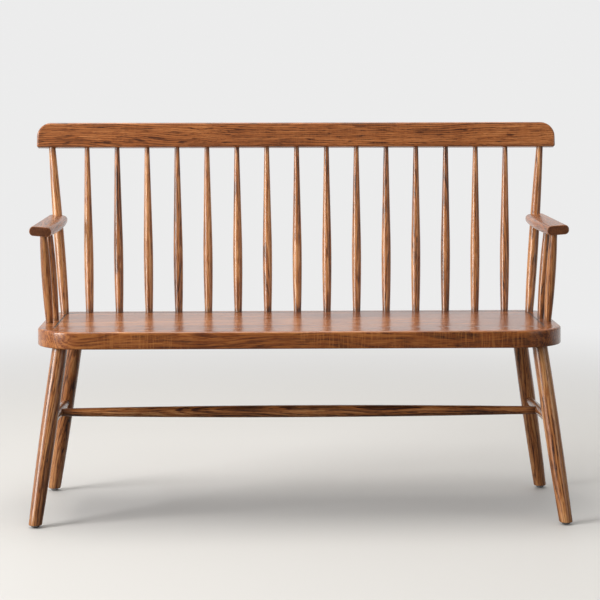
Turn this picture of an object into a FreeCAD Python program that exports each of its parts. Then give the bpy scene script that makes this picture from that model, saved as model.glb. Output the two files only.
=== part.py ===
"""Deacons bench in turned and sawn oak, modelled piece by piece in millimetres.

The frame: +X is the sitter's left, seen from the front as right, +Y goes from the front of the
seat to its back and +Z is up. The origin lies on the floor under the middle of the whole bench.
Depths in the sheet are measured from the front edge of the seat, heights from the floor and
widths from the middle of the bench.
"""

import FreeCAD, Part
import math
import os

import Sketcher
from FreeCAD import Placement, Rotation, Vector

UP = Vector(0, 0, 1)
ACROSS = Vector(1, 0, 0)
BACKWARD = Vector(0, 1, 0)
SIDES = (("left", -1), ("right", 1))
MITRED = 1

DRIVING_SIZES = (
    # The seat: a slab glued up from boards, with rounded corners and a gutter round three sides.
    ("seat_width", 1224, "seat, end to end"),
    ("seat_depth", 414, "seat, front to back"),
    ("seat_height", 445, "floor to the top of the seat"),
    ("seat_thickness", 40, "seat slab"),
    ("seat_front_corner", 108, "radius of the front corners in plan"),
    ("seat_back_corner", 52, "radius of the back corners in plan"),
    ("seat_top_round", 5, "roundover of the top edge"),
    ("seat_under_round", 3, "roundover of the bottom edge"),
    ("seat_joint_first", 128, "depth of the first glue joint"),
    ("seat_joint_second", 255, "depth of the second glue joint"),
    ("seat_joint_third", 336, "depth of the third glue joint"),
    ("gutter_side", 572, "gutter line beside the arm posts, from the middle"),
    ("gutter_back", 382, "gutter line in front of the spindles"),
    ("gutter_corner", 38, "radius of the gutter line's corner"),
    ("gutter_front", 118, "depth at which the gutter reaches its full cut"),
    ("gutter_fade", 52, "length over which the gutter runs out"),
    ("gutter_cutter", 3.0, "diameter of the round gutter cutter"),
    ("gutter_cut", 2.0, "depth of the gutter"),
    ("gutter_lift", 0.4, "room under the cutter where a run-out has left the wood"),
    # The back: a row of spindles between two thicker end posts, under one crest rail.
    ("spindle_count", 15, "spindles between the end posts"),
    ("spindle_row", 398, "depth of the spindle row on the seat"),
    ("spindle_pitch_seat", 73.9, "spacing on the seat"),
    ("spindle_pitch_rail", 75.6, "spacing under the crest rail"),
    ("spindle_seat_end", 18.6, "spindle diameter at the seat"),
    ("spindle_belly", 23.4, "largest spindle diameter"),
    ("spindle_belly_height", 140, "length from the seat to the largest diameter"),
    ("spindle_shoulder", 50, "length above the belly at which the straight taper starts"),
    ("spindle_rail_end", 12.2, "spindle diameter at the rail"),
    ("end_post_seat_x", 577, "end post on the seat, from the middle"),
    ("end_post_seat_y", 379, "end post on the seat, depth"),
    ("end_post_rail_x", 617, "end post under the rail, from the middle"),
    ("end_post_seat_end", 20.2, "end post diameter at the seat"),
    ("end_post_belly", 25.4, "largest end post diameter"),
    ("end_post_belly_height", 148, "length from the seat to the largest diameter"),
    ("end_post_rail_end", 16.4, "end post diameter at the rail"),
    ("rail_width", 1310, "crest rail, end to end"),
    ("rail_height", 63, "crest rail, bottom to top along its lean"),
    ("rail_thickness", 24, "crest rail, front to back"),
    ("rail_corner", 36, "radius of the rail's upper corners"),
    ("rail_foot_corner", 4, "radius of the rail's lower corners"),
    ("rail_round", 5, "roundover of the rail's long edges"),
    ("rail_depth", 491, "depth of the middle of the rail's underside"),
    ("rail_underside", 851, "height of the middle of the rail's underside"),
    # The arms and what stands under them.
    ("arm_height", 672.6, "height of the arm's middle where the end post passes through"),
    ("arm_thickness", 22.6, "arm board"),
    ("arm_round", 10.2, "bullnose along the arm's sides"),
    ("arm_nose_round", 2, "softened edge of the arm's front face"),
    ("arm_rear_radius", 25, "round rear end of the arm"),
    ("arm_rear_shift", 1, "centre of the round end, outward from the end post"),
    ("arm_reach", 341, "arm in front of the end post"),
    ("arm_front_outer", 31, "outer front corner, outward from the end post"),
    ("arm_front_inner", 20, "inner front corner, inward from the end post"),
    ("arm_inner_bow", 2300, "radius of the arm's bowed inner side"),
    ("arm_roll", 4.6, "degrees by which the outer edge stands higher"),
    ("arm_rise", 0.8, "degrees by which the arm climbs to the rear"),
    ("arm_post_seat_x", 593.5, "front arm post on the seat, from the middle"),
    ("arm_post_seat_y", 182, "front arm post on the seat, depth"),
    ("arm_post_arm_u", 4, "front arm post under the arm, outward from the end post"),
    ("arm_post_arm_v", 275, "front arm post under the arm, forward of the end post"),
    ("arm_post_ends", 16.6, "front arm post diameter at both ends"),
    ("arm_post_belly", 23, "largest front arm post diameter"),
    ("arm_spindle_seat_x", 585, "arm spindle on the seat, from the middle"),
    ("arm_spindle_seat_y", 240, "arm spindle on the seat, depth"),
    ("arm_spindle_arm_u", 0.5, "arm spindle under the arm, outward from the end post"),
    ("arm_spindle_arm_v", 191, "arm spindle under the arm, forward of the end post"),
    ("arm_spindle_ends", 15.4, "arm spindle diameter at both ends"),
    ("arm_spindle_belly", 21.6, "largest arm spindle diameter"),
    ("arm_belly_height", 112, "length from the seat to the largest diameter"),
    # The legs and the stretchers.
    ("leg_front_seat_x", 556, "front leg at the seat's underside, from the middle"),
    ("leg_front_seat_y", 57, "front leg at the seat's underside, depth"),
    ("leg_front_foot_x", 608.5, "front leg on the floor, from the middle"),
    ("leg_front_foot_y", -22, "front leg on the floor, depth"),
    ("leg_back_seat_x", 541.5, "back leg at the seat's underside, from the middle"),
    ("leg_back_seat_y", 308, "back leg at the seat's underside, depth"),
    ("leg_back_foot_x", 608.5, "back leg on the floor, from the middle"),
    ("leg_back_foot_y", 387, "back leg on the floor, depth"),
    ("leg_foot_end", 30, "leg diameter at the foot"),
    ("leg_belly", 37, "largest leg diameter"),
    ("leg_belly_height", 262, "length from the foot to the largest diameter"),
    ("leg_top_end", 35, "leg diameter under the seat"),
    ("leg_tenon", 25, "round tenon on the leg's top"),
    ("leg_foot_round", 2.6, "chamfer round the foot"),
    ("leg_foot_waste", 9, "turned length sawn off below the level foot"),
    ("saw_block", 90, "side of the block that takes the waste off"),
    ("stretcher_height", 230.5, "height of the stretchers' axes"),
    ("side_stretcher_ends", 16.5, "side stretcher diameter at the legs"),
    ("side_stretcher_belly", 23, "largest side stretcher diameter"),
    ("centre_stretcher_ends", 18.4, "centre stretcher diameter at its ends"),
    ("centre_stretcher_belly", 29.0, "largest centre stretcher diameter"),
    # The nail-on glides under the feet.
    ("glide_height", 6, "glide, floor to foot"),
    ("glide_width", 20, "largest glide diameter"),
    ("glide_contact", 8, "flat that touches the floor"),
    ("glide_nail", 2.6, "nail diameter"),
    ("glide_nail_length", 15, "nail above the glide's cap"),
    ("glide_nail_point", 4, "length of the nail's point"),
    # How deep the round tenons go, and the room that they have in their sockets.
    ("seat_socket", 27, "socket depth in the seat"),
    ("rail_socket", 24, "socket depth in the crest rail"),
    ("arm_socket", 13, "socket depth in the arm"),
    ("leg_socket_web", 3, "wood left between a stretcher's tip and the leg's axis"),
    ("stretcher_socket_web", 2.5, "wood left between the centre stretcher's tip and the axis"),
    ("tenon_play", 0.1, "room around a tenon, on the radius"),
    ("tenon_end_gap", 0.3, "room beyond a tenon's tip"),
    ("mouth_overrun", 8, "length by which a boring tool stands out of its mouth"),
)


class Size:
    """A number from the sheet together with the expression that yields it."""

    def __init__(self, value, text=None):
        self.value = float(value)
        self.text = text if text is not None else repr(float(value))

    def __float__(self):
        return self.value

    def __add__(self, other):
        other = as_size(other)
        return Size(self.value + other.value, f"({self.text} + {other.text})")

    def __sub__(self, other):
        other = as_size(other)
        return Size(self.value - other.value, f"({self.text} - {other.text})")

    def __mul__(self, factor):
        factor = as_size(factor)
        return Size(self.value * factor.value, f"({self.text} * {factor.text})")

    def __truediv__(self, divisor):
        divisor = as_size(divisor)
        return Size(self.value / divisor.value, f"({self.text} / {divisor.text})")

    def __neg__(self):
        return Size(-self.value, f"(-{self.text})")


def as_size(number):
    """Return the number as a Size."""
    return number if isinstance(number, Size) else Size(number)


def cell(alias):
    """Return the Size that the sheet holds under an alias."""
    return Size(sheet.get(alias), f"Sizes.{alias}")


def number(alias):
    """Return the plain number that the sheet holds under an alias."""
    return float(sheet.get(alias))


def bind(item, path, size):
    """Tie one property of an object to the sheet."""
    item.setExpression(path, as_size(size).text)


def origin_plane(body, role):
    """Return one of a body's own origin planes."""
    return next(plane for plane in body.Origin.OriginFeatures if plane.Role == role)


def new_body(label, role):
    """Return a new body and an empty sketch on one of its origin planes."""
    body = doc.addObject("PartDesign::Body", label)
    body.Label = label
    sketch = body.newObject("Sketcher::SketchObject", label + "_sketch")
    sketch.AttachmentSupport = [(origin_plane(body, role), "")]
    sketch.MapMode = "FlatFace"
    return body, sketch


def fix_distance(sketch, kind, axis, curve, end, size):
    """Hold one coordinate of a curve's end point at a size, whatever its sign."""
    size = as_size(size)
    if abs(size.value) < 1e-9:
        sketch.addConstraint(Sketcher.Constraint("PointOnObject", curve, end, axis))
        return
    if size.value > 0:
        rule = Sketcher.Constraint(kind, -1, 1, curve, end, size.value)
    else:
        size = -size
        rule = Sketcher.Constraint(kind, curve, end, -1, 1, size.value)
    index = sketch.addConstraint(rule)
    if "Sizes." in size.text:
        bind(sketch, f"Constraints[{index}]", size)


def fix_point(sketch, curve, end, x, y):
    """Hold a curve's end point at a place in the sketch."""
    fix_distance(sketch, "DistanceX", -2, curve, end, x)
    fix_distance(sketch, "DistanceY", -1, curve, end, y)


def belly_arc(narrow, belly):
    """Return the arc from a narrow place to the belly, square to the axis at the belly.

    Both places are (radius, height). The arc's end at the belly is its second point below the
    belly and its first point above it.
    """
    rise = abs(narrow[1] - belly[1])
    bulge = belly[0] - narrow[0]
    radius = (rise ** 2 + bulge ** 2) / (2 * bulge)
    circle = Part.Circle(Vector(belly[0] - radius, belly[1], 0), UP, radius)
    angle = math.asin(rise / radius)
    if narrow[1] < belly[1]:
        return Part.ArcOfCircle(circle, -angle, 0)
    return Part.ArcOfCircle(circle, 0, angle)


def turned_body(label, profile, belly, arcs=2):
    """Return a turned piece that stands on its own origin along +Z.

    profile lists (radius, height) from the axis at the bottom to the axis at the top. belly is
    the place in it that an arc swells up to, and with two arcs a second one falls away from it.
    """
    body, sketch = new_body(label, "XZ_Plane")
    places = [(float(radius), float(height)) for radius, height in profile]
    last = len(places) - 1
    for index in range(last):
        here, there = places[index], places[index + 1]
        if index == belly - 1:
            sketch.addGeometry(belly_arc(here, there))
        elif index == belly and arcs == 2:
            sketch.addGeometry(belly_arc(there, here))
        else:
            sketch.addGeometry(Part.LineSegment(Vector(*here, 0), Vector(*there, 0)))
    sketch.addGeometry(Part.LineSegment(Vector(*places[last], 0), Vector(*places[0], 0)))
    for index in range(last + 1):
        following = (index + 1) % (last + 1)
        sketch.addConstraint(Sketcher.Constraint("Coincident", index, 2, following, 1))
        fix_point(sketch, index, 1, *profile[index])
    for arc in range(belly - 1, belly - 1 + arcs):
        sketch.addConstraint(Sketcher.Constraint("Horizontal", arc, 3, belly, 1))
    turning = body.newObject("PartDesign::Revolution", label + "_turning")
    turning.Profile = sketch
    turning.ReferenceAxis = (sketch, ["V_Axis"])
    turning.Angle = 360
    return body


def stand(item, start, direction):
    """Place a piece that was made along +Z from one point in one direction."""
    item.Placement = Placement(start, Rotation(UP, direction))


def edge_numbers(shape, wanted):
    """Return the numbers, from one, of the edges that a test accepts."""
    return [place for place, edge in enumerate(shape.Edges, start=1) if wanted(edge)]


def round_edges(body, name, wanted, radius):
    """Add a fillet to a body on the edges that a test accepts."""
    doc.recompute()
    tip = body.Tip
    fillet = body.newObject("PartDesign::Fillet", name)
    fillet.Base = (tip, [f"Edge{place}" for place in edge_numbers(tip.Shape, wanted)])
    bind(fillet, "Radius", radius)
    doc.recompute()
    return fillet


def bore(label, tip, outward, diameter, depth):
    """Return a boring tool for a blind socket.

    tip is where the tenon ends, outward points from there to the socket's mouth, and the tool
    reaches past both by the named gap and overrun.
    """
    tool = doc.addObject("Part::Cylinder", label)
    tool.Label = label
    bind(tool, "Radius", diameter / 2 + cell("tenon_play"))
    bind(tool, "Height", depth + cell("tenon_end_gap") + cell("mouth_overrun"))
    stand(tool, tip - outward * number("tenon_end_gap"), outward)
    return tool


def cut(label, base, tools):
    """Return base with all tools taken out of it."""
    if len(tools) > 1:
        gang = doc.addObject("Part::MultiFuse", label + "_tools")
        gang.Shapes = tools
    else:
        gang = tools[0]
    result = doc.addObject("Part::Cut", label)
    result.Label = label
    result.Base = base
    result.Tool = gang
    return result


def unit(vector):
    """Return a vector of length one in the same direction."""
    return Vector(vector).normalize()


def at(width, depth, height):
    """Return the place at a width, a depth from the seat's front edge and a height."""
    return Vector(width, depth - middle_depth, height)


def at_height(foot, head, height):
    """Return the place at a height on the line from foot to head."""
    return foot + (head - foot) * ((height - foot.z) / (head.z - foot.z))


def tenoned_profile(ends, belly, belly_height, length, foot_tenon, head_tenon, shoulder=None):
    """Return the profile of a piece whose ends go into sockets at their full diameter.

    With a shoulder, the swelling ends at that length above the belly, and a straight taper runs
    on from it, in line with the arc, to the head.
    """
    foot_radius, head_radius = ends[0] / 2, ends[1] / 2
    belly_at = foot_tenon + belly_height
    head_at = as_size(length) - head_tenon
    places = [
        (0, 0),
        (foot_radius, 0),
        (foot_radius, foot_tenon),
        (belly / 2, belly_at),
        (head_radius, head_at),
        (head_radius, length),
        (0, length),
    ]
    if shoulder is not None:
        drop = (belly / 2 - head_radius) * shoulder / ((head_at - belly_at) * 2 - shoulder)
        places.insert(4, (belly / 2 - drop, belly_at + shoulder))
    return places


def upright(label, foot, head, ends, belly, belly_height, head_tenon, shoulder=None):
    """Return a turned upright that stands in the seat, with its axis and both tips."""
    axis = unit(head - foot)
    bottom = foot - axis * number("seat_socket")
    top = head + axis * float(head_tenon)
    length = (top - bottom).Length
    profile = tenoned_profile(ends, belly, belly_height, length, cell("seat_socket"), head_tenon,
                              shoulder)
    body = turned_body(label, profile, 3)
    stand(body, bottom, axis)
    return body, axis, bottom, top


def rounded_outline(sketch, corners):
    """Draw a closed outline of straight sides and tangent corner arcs, counterclockwise.

    Each corner is (place across, place along, radius), all Sizes, and turns by a right angle.
    """
    places = [(Vector(float(x), float(y), 0), float(radius)) for x, y, radius in corners]
    total = len(places)
    for index in range(total):
        here, radius = places[index]
        before = places[index - 1][0]
        after, next_radius = places[(index + 1) % total]
        enter = unit(here - before)
        leave = unit(after - here)
        centre = here - enter * radius + leave * radius
        start = math.atan2(-leave.y, -leave.x)
        sketch.addGeometry(Part.ArcOfCircle(Part.Circle(centre, UP, radius), start,
                                            start + math.pi / 2))
        sketch.addGeometry(Part.LineSegment(here + leave * radius, after - leave * next_radius))
    for index in range(total):
        arc, side = 2 * index, 2 * index + 1
        following = (side + 1) % (2 * total)
        sketch.addConstraint(Sketcher.Constraint("Tangent", arc, 2, side, 1))
        sketch.addConstraint(Sketcher.Constraint("Tangent", side, 2, following, 1))
        here = places[index][0]
        after = places[(index + 1) % total][0]
        flat = abs(here.y - after.y) < abs(here.x - after.x)
        sketch.addConstraint(Sketcher.Constraint("Horizontal" if flat else "Vertical", side))
        x, y, radius = corners[index]
        rule = sketch.addConstraint(Sketcher.Constraint("Radius", arc, float(radius)))
        bind(sketch, f"Constraints[{rule}]", radius)
        if flat:
            fix_distance(sketch, "DistanceY", -1, side, 1, y)
        else:
            fix_distance(sketch, "DistanceX", -2, side, 1, x)


def runs_along_arm(edge):
    """Accept the arm's long edges and its round end, above and below."""
    box = edge.BoundBox
    return box.ZLength < 1e-6 and box.YMax > -number("arm_reach") + 1


def frames_arm_front(edge):
    """Accept the edges round the arm's front face."""
    return edge.BoundBox.YMax < -number("arm_reach") + 1e-3


def lies_on_rail_face(edge):
    """Accept the outline edges of the rail's front and back faces."""
    return edge.BoundBox.YLength < 1e-6


def foot_rim(edge):
    """Accept the rim of the level foot."""
    box = edge.BoundBox
    return box.ZLength < 1e-4 and abs(box.ZMin - number("glide_height")) < 1e-4


def seat_rim(height):
    """Return a test that accepts the seat's outline edges at one height."""
    return lambda edge: (edge.BoundBox.ZLength < 1e-6
                         and abs(edge.BoundBox.ZMin - height) < 1e-6)


def gutter_point(width, depth, rise=0):
    """Return a point of the gutter's line, at the height of the cutter's middle."""
    height = number("seat_height") + number("gutter_cutter") / 2 - number("gutter_cut")
    return at(width, depth, height + rise)


doc = FreeCAD.newDocument("DeaconsBench")
sheet = doc.addObject("Spreadsheet::Sheet", "Sizes")
for row, (alias, value, meaning) in enumerate(DRIVING_SIZES, start=1):
    sheet.set(f"A{row}", meaning)
    sheet.set(f"B{row}", str(value))
    sheet.setAlias(f"B{row}", alias)
doc.recompute()

nodes = []
seat_tools = []
rail_tools = []
arm_tools = []

# The bench's middle in depth: halfway from the front feet's toes to the rail's upper back edge.
spindle_run = math.hypot(number("rail_depth") - number("spindle_row"),
                         number("rail_underside") - number("seat_height"))
lean = math.asin((number("rail_depth") - number("spindle_row")) / spindle_run)
front_splay = unit(Vector(number("leg_front_foot_x") - number("leg_front_seat_x"),
                          number("leg_front_foot_y") - number("leg_front_seat_y"),
                          number("seat_thickness") - number("seat_height")))
toe_depth = (number("leg_front_foot_y") + number("glide_height") * front_splay.y / front_splay.z
             - number("leg_foot_end") / 2 / math.sqrt(1 - front_splay.y ** 2))
crest_depth = (number("rail_depth")
               + (number("rail_height") - number("rail_round")) * math.sin(lean)
               + (number("rail_thickness") / 2 - number("rail_round")) * math.cos(lean)
               + number("rail_round"))
middle_depth = (toe_depth + crest_depth) / 2

# The back spindles, fanned a little between the seat and the rail.
count = int(number("spindle_count"))
for position in range(count):
    offset = position - (count - 1) / 2
    foot = at(offset * number("spindle_pitch_seat"), number("spindle_row"), number("seat_height"))
    head = at(offset * number("spindle_pitch_rail"), number("rail_depth"),
              number("rail_underside"))
    label = f"back_spindle_{position + 1:02d}"
    spindle, axis, bottom, top = upright(
        label, foot, head, (cell("spindle_seat_end"), cell("spindle_rail_end")),
        cell("spindle_belly"), cell("spindle_belly_height"), cell("rail_socket"),
        cell("spindle_shoulder"))
    nodes.append(spindle)
    seat_tools.append(bore(label + "_seat_bore", bottom, axis, cell("spindle_seat_end"),
                           cell("seat_socket")))
    rail_tools.append(bore(label + "_rail_bore", top, -axis, cell("spindle_rail_end"),
                           cell("rail_socket")))

# The end posts, which lean out and pass through the arms.
for side, sign in SIDES:
    foot = at(sign * number("end_post_seat_x"), number("end_post_seat_y"), number("seat_height"))
    head = at(sign * number("end_post_rail_x"), number("rail_depth"), number("rail_underside"))
    label = f"end_post_{side}"
    post, axis, bottom, top = upright(
        label, foot, head, (cell("end_post_seat_end"), cell("end_post_rail_end")),
        cell("end_post_belly"), cell("end_post_belly_height"), cell("rail_socket"))
    nodes.append(post)
    seat_tools.append(bore(label + "_seat_bore", bottom, axis, cell("end_post_seat_end"),
                           cell("seat_socket")))
    rail_tools.append(bore(label + "_rail_bore", top, -axis, cell("end_post_rail_end"),
                           cell("rail_socket")))
post_foot, post_head, post_axis = foot, head, axis

# The arm's own frame on the right: u outward, v backward and w up from the end post's axis.
arm_centre = at_height(post_foot, post_head, number("arm_height"))
arm_turn = Rotation(ACROSS, number("arm_rise")) * Rotation(BACKWARD, -number("arm_roll"))
arm_place = Placement(arm_centre, arm_turn)

# The arm's plan: straight outer side, round rear end, bowed inner side and square front.
rear_radius = number("arm_rear_radius")
inner_bow = number("arm_inner_bow")
rear_centre = Vector(number("arm_rear_shift"), 0, 0)
outer_front = Vector(number("arm_front_outer"), -number("arm_reach"), 0)
inner_front = Vector(-number("arm_front_inner"), -number("arm_reach"), 0)
to_rear = rear_centre - outer_front
outer_turn = math.atan2(to_rear.y, to_rear.x) - math.asin(rear_radius / to_rear.Length)
outer_run = math.sqrt(to_rear.Length ** 2 - rear_radius ** 2)
outer_rear = outer_front + Vector(math.cos(outer_turn), math.sin(outer_turn), 0) * outer_run
# The bow's centre is as far from the front corner as its radius, and from the rear centre as its
# radius less the rear end's, so that the two arcs meet smoothly.
bow_gap = inner_bow - rear_radius
chord = rear_centre - inner_front
along = (chord.Length ** 2 + inner_bow ** 2 - bow_gap ** 2) / (2 * chord.Length)
sideways = math.sqrt(inner_bow ** 2 - along ** 2)
chord_way = unit(chord)
bow_centre = (inner_front + chord_way * along
              + Vector(chord_way.y, -chord_way.x, 0) * sideways)
inner_rear = bow_centre + unit(rear_centre - bow_centre) * inner_bow

arm_blank, arm_sketch = new_body("arm_blank", "XY_Plane")
rear_start = math.atan2(outer_rear.y - rear_centre.y, outer_rear.x - rear_centre.x)
rear_end = math.atan2(inner_rear.y - rear_centre.y, inner_rear.x - rear_centre.x)
bow_start = math.atan2(inner_rear.y - bow_centre.y, inner_rear.x - bow_centre.x)
bow_end = math.atan2(inner_front.y - bow_centre.y, inner_front.x - bow_centre.x)
full_turn = 2 * math.pi
arm_sketch.addGeometry(Part.LineSegment(outer_front, outer_rear))
arm_sketch.addGeometry(Part.ArcOfCircle(Part.Circle(rear_centre, UP, rear_radius),
                                        rear_start, rear_end % full_turn))
arm_sketch.addGeometry(Part.ArcOfCircle(Part.Circle(bow_centre, UP, inner_bow),
                                        bow_start % full_turn, bow_end % full_turn))
arm_sketch.addGeometry(Part.LineSegment(inner_front, outer_front))
for first, second in ((0, 1), (1, 2)):
    arm_sketch.addConstraint(Sketcher.Constraint("Tangent", first, 2, second, 1))
for first, second in ((2, 3), (3, 0)):
    arm_sketch.addConstraint(Sketcher.Constraint("Coincident", first, 2, second, 1))
fix_point(arm_sketch, 0, 1, cell("arm_front_outer"), -cell("arm_reach"))
fix_point(arm_sketch, 3, 1, -cell("arm_front_inner"), -cell("arm_reach"))
fix_point(arm_sketch, 1, 3, cell("arm_rear_shift"), 0)
for arc, alias in ((1, "arm_rear_radius"), (2, "arm_inner_bow")):
    rule = arm_sketch.addConstraint(Sketcher.Constraint("Radius", arc, number(alias)))
    bind(arm_sketch, f"Constraints[{rule}]", cell(alias))
arm_pad = arm_blank.newObject("PartDesign::Pad", "arm_pad")
arm_pad.Profile = arm_sketch
bind(arm_pad, "Length", cell("arm_thickness"))
arm_pad.Midplane = True


round_edges(arm_blank, "arm_bullnose", runs_along_arm, cell("arm_round"))
round_edges(arm_blank, "arm_nose", frames_arm_front, cell("arm_nose_round"))
arm_blank.Placement = arm_place

# The front arm posts and the arm spindles, between the seat and the arm's underside.
UNDER_ARM = (
    ("arm_post", "arm_post_front"),
    ("arm_spindle", "arm_spindle"),
)
for size_name, node_name in UNDER_ARM:
    ends = cell(size_name + "_ends")
    foot = at(number(size_name + "_seat_x"), number(size_name + "_seat_y"),
              number("seat_height"))
    head = arm_place.multVec(Vector(number(size_name + "_arm_u"),
                                    -number(size_name + "_arm_v"),
                                    -number("arm_thickness") / 2))
    for side, sign in SIDES:
        own_foot = Vector(foot.x * sign, foot.y, foot.z)
        own_head = Vector(head.x * sign, head.y, head.z)
        label = f"{node_name}_{side}"
        post, axis, bottom, top = upright(
            label, own_foot, own_head, (ends, ends), cell(size_name + "_belly"),
            cell("arm_belly_height"), cell("arm_socket"))
        nodes.append(post)
        seat_tools.append(bore(label + "_seat_bore", bottom, axis, ends, cell("seat_socket")))
        if sign > 0:
            arm_tools.append(bore(label + "_arm_bore", top, -axis, ends, cell("arm_socket")))

# The end post's way through the arm, bored to the post's girth at the arm's underside.
upper_run = ((post_head - post_foot).Length - number("end_post_belly_height"))
bulge = (number("end_post_belly") - number("end_post_rail_end")) / 2
upper_bow = (upper_run ** 2 + bulge ** 2) / (2 * bulge)
climb = ((number("arm_height") - number("seat_height") - number("arm_thickness") / 2
          - number("end_post_belly") / 2 * math.tan(math.radians(number("arm_roll"))))
         / post_axis.z - number("end_post_belly_height"))
girth_loss = upper_bow - math.sqrt(upper_bow ** 2 - max(climb, 0) ** 2)
arm_way = doc.addObject("Part::Cylinder", "arm_way")
bind(arm_way, "Radius", cell("end_post_belly") / 2 - girth_loss + cell("tenon_play"))
bind(arm_way, "Height", cell("arm_thickness") + cell("mouth_overrun") * 2)
stand(arm_way, arm_centre - post_axis * (number("arm_thickness") / 2 + number("mouth_overrun")),
      post_axis)
arm_tools.append(arm_way)

arm_right = cut("arm_right", arm_blank, arm_tools)
arm_left = doc.addObject("Part::Mirroring", "arm_left")
arm_left.Label = "arm_left"
arm_left.Source = arm_right
arm_left.Normal = ACROSS
nodes += [arm_left, arm_right]

# The crest rail, drawn on its own upright face and leaned back with the spindles.
rail_blank, rail_sketch = new_body("rail_blank", "XZ_Plane")
half_rail = cell("rail_width") / 2
rounded_outline(rail_sketch, [
    (-half_rail, Size(0), cell("rail_foot_corner")),
    (half_rail, Size(0), cell("rail_foot_corner")),
    (half_rail, cell("rail_height"), cell("rail_corner")),
    (-half_rail, cell("rail_height"), cell("rail_corner")),
])
rail_pad = rail_blank.newObject("PartDesign::Pad", "rail_pad")
rail_pad.Profile = rail_sketch
bind(rail_pad, "Length", cell("rail_thickness"))
rail_pad.Midplane = True


round_edges(rail_blank, "rail_round_edges", lies_on_rail_face, cell("rail_round"))
rail_blank.Placement = Placement(at(0, number("rail_depth"), number("rail_underside")),
                                 Rotation(BACKWARD.cross(UP), -math.degrees(lean)))
nodes.append(cut("crest_rail", rail_blank, rail_tools))

# The legs, each a turned blank sawn level at the foot, and the stretchers between them.
leg_lines = {}
for row in ("front", "back"):
    for side, sign in SIDES:
        head = at(sign * number(f"leg_{row}_seat_x"), number(f"leg_{row}_seat_y"),
                  number("seat_height") - number("seat_thickness"))
        floor_point = at(sign * number(f"leg_{row}_foot_x"), number(f"leg_{row}_foot_y"), 0)
        leg_lines[row, side] = (floor_point, head)

stretcher_ends = {}
side_stretchers = {}
for side, sign in SIDES:
    front, back = (at_height(*leg_lines[row, side], number("stretcher_height"))
                   for row in ("front", "back"))
    axis = unit(back - front)
    start = front + axis * number("leg_socket_web")
    finish = back - axis * number("leg_socket_web")
    ends = cell("side_stretcher_ends")
    tenon = cell("leg_belly") / 2 - cell("leg_socket_web")
    length = (finish - start).Length
    profile = tenoned_profile((ends, ends), cell("side_stretcher_belly"),
                              length / 2 - float(tenon), length, tenon, tenon)
    blank = turned_body(f"side_stretcher_{side}_blank", profile, 3)
    stand(blank, start, axis)
    side_stretchers[side] = (blank, (front + back) / 2)
    stretcher_ends["front", side] = (start, axis)
    stretcher_ends["back", side] = (finish, -axis)

left_middle, right_middle = side_stretchers["left"][1], side_stretchers["right"][1]
axis = unit(right_middle - left_middle)
start = left_middle + axis * number("stretcher_socket_web")
finish = right_middle - axis * number("stretcher_socket_web")
ends = cell("centre_stretcher_ends")
tenon = cell("side_stretcher_belly") / 2 - cell("stretcher_socket_web")
length = (finish - start).Length
profile = tenoned_profile((ends, ends), cell("centre_stretcher_belly"),
                          length / 2 - float(tenon), length, tenon, tenon)
centre_stretcher = turned_body("centre_stretcher", profile, 3)
stand(centre_stretcher, start, axis)
nodes.append(centre_stretcher)
for side, tip, outward in (("left", start, axis), ("right", finish, -axis)):
    label = f"side_stretcher_{side}"
    tool = bore(label + "_bore", tip, outward, ends, tenon)
    nodes.append(cut(label, side_stretchers[side][0], [tool]))


for (row, side), (floor_point, head) in leg_lines.items():
    label = f"leg_{row}_{side}"
    axis = unit(head - floor_point)
    saw_point = at_height(floor_point, head, number("glide_height"))
    bottom = saw_point - axis * number("leg_foot_waste")
    top = head + axis * number("seat_socket")
    foot_length = cell("leg_foot_waste")
    shoulder = (head - bottom).Length
    length = (top - bottom).Length
    blank = turned_body(label + "_blank", [
        (0, 0),
        (cell("leg_foot_end") / 2, 0),
        (cell("leg_belly") / 2, foot_length + cell("leg_belly_height")),
        (cell("leg_top_end") / 2, shoulder),
        (cell("leg_tenon") / 2, shoulder),
        (cell("leg_tenon") / 2, length),
        (0, length),
    ], 2)
    stand(blank, bottom, axis)
    seat_tools.append(bore(label + "_seat_bore", top, -axis, cell("leg_tenon"),
                           cell("seat_socket")))
    waste = doc.addObject("Part::Box", label + "_waste")
    for path in ("Length", "Width", "Height"):
        bind(waste, path, cell("saw_block"))
    block = number("saw_block")
    waste.Placement.Base = saw_point - Vector(block / 2, block / 2, block)
    level = cut(label + "_level", blank, [waste])
    doc.recompute()
    rim = doc.addObject("Part::Chamfer", label + "_rim")
    rim.Base = level
    rim.Edges = [(place, number("leg_foot_round"), number("leg_foot_round"))
                 for place in edge_numbers(level.Shape, foot_rim)]
    nail_tip = saw_point + UP * number("glide_nail_length")
    nail_bore = bore(label + "_nail_bore", nail_tip, -UP, cell("glide_nail"),
                     cell("glide_nail_length"))
    tip, outward = stretcher_ends[row, side]
    stretcher_bore = bore(label + "_stretcher_bore", tip, outward, cell("side_stretcher_ends"),
                          cell("leg_belly") / 2 - cell("leg_socket_web"))
    nodes.append(cut(label, rim, [nail_bore, stretcher_bore]))

    # The domed glide with its nail.
    label = f"foot_glide_{row}_{side}"
    cap = cell("glide_height")
    nail_top = cap + cell("glide_nail_length")
    glide = turned_body(label, [
        (0, 0),
        (cell("glide_contact") / 2, 0),
        (cell("glide_width") / 2, cap),
        (cell("glide_nail") / 2, cap),
        (cell("glide_nail") / 2, nail_top - cell("glide_nail_point")),
        (0, nail_top),
    ], 2, arcs=1)
    glide.Placement.Base = Vector(saw_point.x, saw_point.y, 0)
    nodes.append(glide)

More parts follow.
